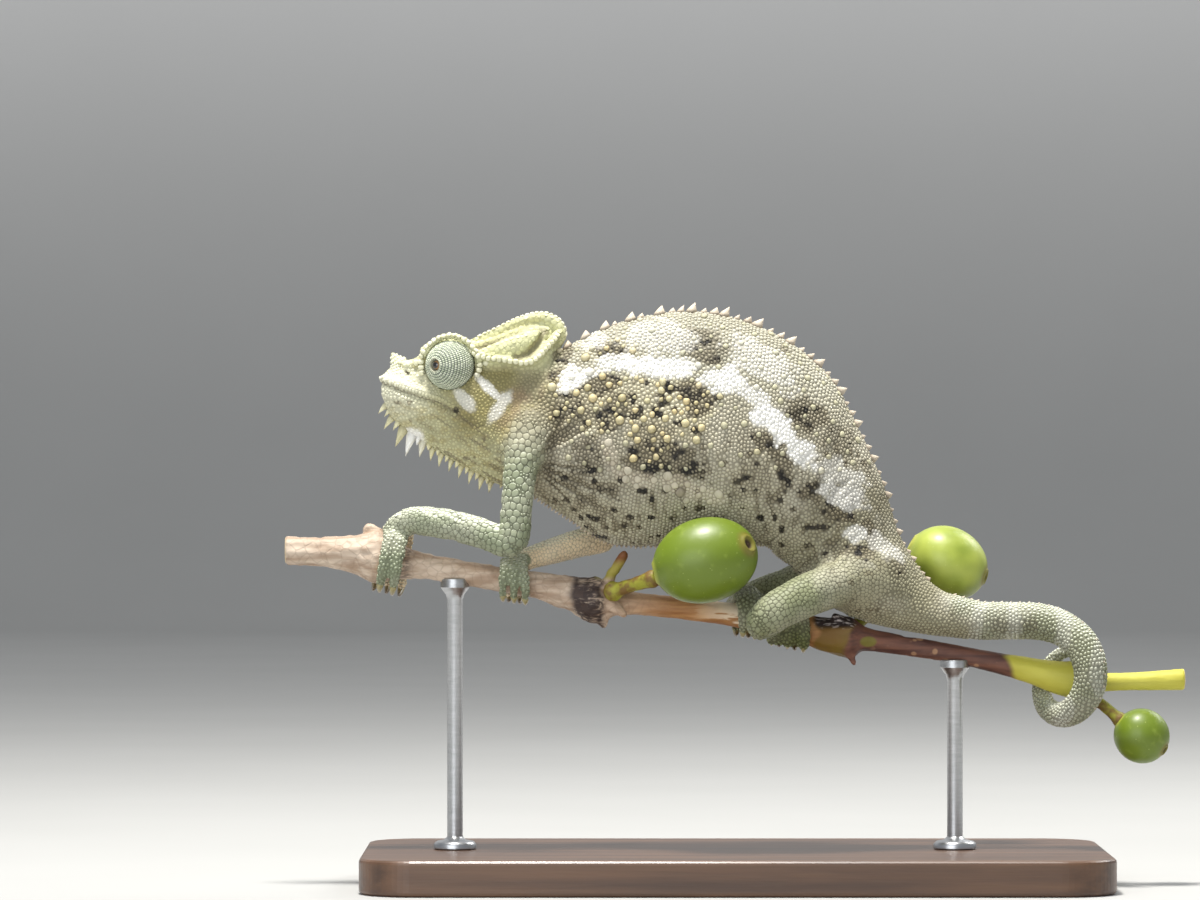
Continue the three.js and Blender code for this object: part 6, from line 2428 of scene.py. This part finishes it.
@dataclass
class Cherry:
    """An unripe coffee cherry with its scar and its stalk."""

    name: str
    at: Point
    half: Point
    tilt: float
    scar: Point
    yellow: float
    stalk: Rows
    sides: int = 88

    def fruit(self) -> None:
        """Makes the fruit, with the rims and pits of its scar and of its stalk end."""
        angle = np.concatenate([np.radians(np.linspace(0.8, 18, 16)), np.radians(np.linspace(20, 179, 50))])
        flat = turned(unit(np.array(self.scar)), np.array([0.1, 0.3, 1.0]), arc(1.0, angle), self.sides).reshape(-1, 3)
        degrees = np.repeat(np.degrees(angle), self.sides)
        away = np.degrees(np.arccos(np.clip(-flat[:, 0], -1, 1)))
        rise = 0.03 * bell(degrees - 11, 2.6) - 0.055 * ease(9, 4.5, degrees)
        rise += 0.03 * ease(2.4, 1.0, degrees) + 0.008 * noise(flat, 0.8, 91)
        rise += 0.025 * bell(away - 13, 3.5) - 0.05 * ease(11, 5, away)
        c, s = math.cos(math.radians(self.tilt)), math.sin(math.radians(self.tilt))
        matrix = np.array([[c, 0, -s], [0, 1, 0], [s, 0, c]])
        points = (flat * (1 + rise[:, None]) * (np.array(self.half) * 0.985)) @ matrix.T + self.at
        shell = loft(points.reshape(len(angle), self.sides, 3))
        grain = with_poles(columns(degrees / 180, away / 180, 0))
        piece = from_shell(f"fruit_{self.name}", shell, Fruit(self.name, self.yellow), grain)
        own(piece, "cherry", f"cherry_{self.name}")

    def build(self) -> None:
        """Makes fruit and stalk."""
        self.fruit()
        rows = spaced(self.stalk, 0.3)
        share = np.linspace(0, 1, len(rows))
        rows[:, 3] *= 0.86 + 0.3 * ease(0.25, 0.0, share) + 0.22 * ease(0.75, 1.0, share)
        rows[:, 3] *= 1 + 0.12 * noise(rows[:, :3], 0.9, 92)
        own(from_shell(f"stem_{self.name}", tube(rows, 22), Stalk()), "stalk", f"stalk_{self.name}")


CHERRIES = (
    Cherry("under_belly", (-4.3, -9.2, 45.6), (7.5, 5.7, 6.0), 14, (0.86, -0.46, 0.14), 0.0,
           ((-17.0, -3.4, 41.2, 1.15), (-14.4, -5.2, 42.1, 1.15), (-11.6, -7.2, 43.0, 1.15))),
    Cherry("behind_tail", (30.2, 9.4, 44.9), (6.0, 5.3, 5.2), -30, (0.96, -0.2, 0.2), 0.5,
           ((15.8, 1.8, 35.4, 0.9), (20.4, 5.2, 39.0, 0.9), (25.2, 8.0, 45.4, 0.9))),
    Cherry("small", (56.9, -0.4, 20.9), (4.0, 3.9, 3.9), -35, (0.94, -0.34, 0.05), 0.06,
           ((48.5, 0.0, 27.0, 0.95), (51.2, -0.1, 25.4, 0.95), (53.8, -0.3, 23.2, 0.95))),
)


# ------------------------------------------------------------------ stand
@dataclass
class Stand:
    """The display stand: a flat base with round corners, and two turned rods under the twig."""

    length: float = 104.0
    width: float = 52.0
    height: float = 5.0
    corner: float = 8.0
    bevel: float = 0.6
    radius: float = 1.1
    sides: int = 40
    rods: tuple = (("front", -39.2), ("rear", 30.8))

    def outline(self, inset: float) -> Array:
        """The base's outline, drawn in.

        Args:
            inset: by how much.

        Returns:
            Points, as x and y.
        """
        turn = np.radians(np.arange(0, 360, 6))
        middle = np.array([self.length / 2 - self.corner, self.width / 2 - self.corner])
        quarter = np.repeat([[1, 1], [-1, 1], [-1, -1], [1, -1]], 15, axis=0)
        return quarter * middle + (self.corner - inset) * columns(np.cos(turn), np.sin(turn))

    def base(self) -> Shell:
        """The slab with its bevelled edges.

        Returns:
            The closed shell.
        """
        levels = [(self.bevel * (1 - math.sin(a)), self.bevel * (1 - math.cos(a))) for a in np.radians([0, 30, 60, 90])]
        levels += [(inset, self.height - z) for inset, z in levels[::-1]]
        rings = np.array([columns(*self.outline(inset).T, z) for inset, z in levels])
        return loft(rings, np.zeros(3), self.height * UP)

    def rod(self, x: float) -> Shell:
        """A rod with its foot collar and the saddle that carries the twig.

        Args:
            x: where it stands.

        Returns:
            The closed shell.
        """
        y, z, radius = twig_at(x)
        seat, top, foot, r = z - radius - 0.6, z - radius * 0.55, self.height, self.radius
        profile = [(r, foot - 1), (r, foot), (2.8, foot), (3.0, foot + 0.2), (3.0, foot + 0.7), (2.8, foot + 1.0),
                   (2.5, foot + 1.2), (1.5, foot + 1.4), (r, foot + 1.8), (r, seat - 1.6), (1.3, seat - 0.9),
                   (1.9, seat - 0.1), (2.05, seat + 0.1), (2.05, top - 0.1), (1.95, top)]
        c, s = np.cos(circle(self.sides)), np.sin(circle(self.sides))
        return loft(np.array([columns(x + wide * c, y + wide * s, high) for wide, high in profile]))

    def build(self) -> None:
        """Makes base and rods."""
        own(from_shell("base", self.base(), Wood(), soft=False), "base_wood", "stand_base")
        for name, x in self.rods:
            piece = from_shell(f"rod_{name}", self.rod(x), Steel())
            piece.data.set_sharp_from_angle(angle=math.radians(35))
            own(piece, "rod_steel", f"stand_rod_{name}")


# ------------------------------------------------------------------ the animal and the picture
FLESH_NODES = (
    "head", "lower_jaw", "neck", "trunk", "tail_root", "tail_middle", "tail_bend", "tail_curl", "tail_tip",
    *(f"{part}_{side}" for side in ("left", "right")
      for part in ("upper_arm", "forearm", "hand", "thigh", "shin", "foot")),
)


@dataclass
class Chameleon:
    """The animal: skin, coat, eyes, horn and claws."""

    depth: float = 0.2

    def build(self) -> None:
        """Makes all of it."""
        skin = Skin(Flesh(), self.depth)
        tone = np.clip(0.5 + 0.22 * noise(skin.points, 1.7, 71), 0, 1)
        # the dark share also holds painted shade from the depth of the skin's folds
        marks = markings(skin.points, skin.weights, skin.depth)
        layers = {"marks": marks, "body": skin.weights, "grain": columns(tone, 0, 0)}
        own(new_mesh("skin", skin.points, skin.quads, Hide(), layers), "body_skin", *FLESH_NODES)
        Coat(skin).build()
        for side in (-1, 1):
            Eye(side).build()
        Horn().build()
        for limb in LIMBS:
            Claws(limb).build()


@dataclass
class Studio:
    """A plain pale floor and backdrop, soft light and the camera."""

    floor: float = 0.0
    eye: Point = (-18.9, -900.0, 60.9)
    lens: float = 192.86
    lamps: tuple = (
        ("key", (-60, -60, 560), 90, 5.2, (1.0, 0.975, 0.93)),
        ("fill", (-200, -520, 160), 420, 1.55, (0.94, 0.97, 1.0)),
        ("rim", (300, 260, 340), 200, 1.0, (1.0, 1.0, 0.98)),
    )

    def sweep(self) -> None:
        """The floor with its curved backdrop."""
        turn = np.radians(np.linspace(-90, 0, 14))
        profile = [(-1600.0, self.floor)] + [(1240 + 160 * math.cos(a), 160 + 160 * math.sin(a)) for a in turn]
        points = np.array([(x, y, z) for y, z in [*profile, (1400.0, 1500.0)] for x in (-2000.0, 0.0, 2000.0)])
        grid = np.arange(len(points)).reshape(-1, 3)
        faces = columns(grid[:-1, :-1], grid[:-1, 1:], grid[1:, 1:], grid[1:, :-1]).reshape(-1, 4)
        new_mesh("sweep", points, faces, Paper())

    def lamp(self, name: str, at: Point, size: float, power: float, colour: Point) -> None:
        """A square soft light that faces the model.

        Args:
            name: its name.
            at: its place, in mm.
            size: its edge, in mm.
            power: in watts.
            colour: red, green and blue, up to 1.
        """
        light = bpy.data.lights.new(name, "AREA")
        light.size, light.energy, light.color = size * MM, power, colour
        made = bpy.data.objects.new(name, light)
        made.location = Vector(at) * MM
        made.rotation_euler = (Vector((0, 0, 55)) - Vector(at)).to_track_quat("-Z", "Y").to_euler()
        bpy.context.scene.collection.objects.link(made)

    def camera(self) -> None:
        """The camera, level and far off."""
        made = bpy.data.objects.new("camera", bpy.data.cameras.new("camera"))
        made.data.lens, made.data.sensor_width = self.lens, 36.0
        made.data.clip_start, made.data.clip_end = 0.01, 10.0
        made.location = Vector(self.eye) * MM
        made.rotation_euler = (math.pi / 2, 0.0, 0.0)
        bpy.context.scene.collection.objects.link(made)
        bpy.context.scene.camera = made

    def build(self) -> None:
        """Sets the stage."""
        self.sweep()
        for lamp in self.lamps:
            self.lamp(*lamp)
        world = bpy.data.worlds.new("studio")
        world.use_nodes = True
        sky = world.node_tree.nodes["Background"]
        sky.inputs["Color"].default_value = (0.9, 0.94, 1.0, 1.0)
        sky.inputs["Strength"].default_value = 0.42
        bpy.context.scene.world = world
        bpy.context.scene.view_settings.view_transform = "Standard"
        self.camera()


def main() -> None:
    """Builds the model, piece by piece, and the studio round it."""
    logging.basicConfig(level=logging.INFO, format="%(message)s")
    for part in (Chameleon(), Perch(), *CHERRIES, Stand(), Studio()):
        part.build()


if __name__ == "__main__":
    main()
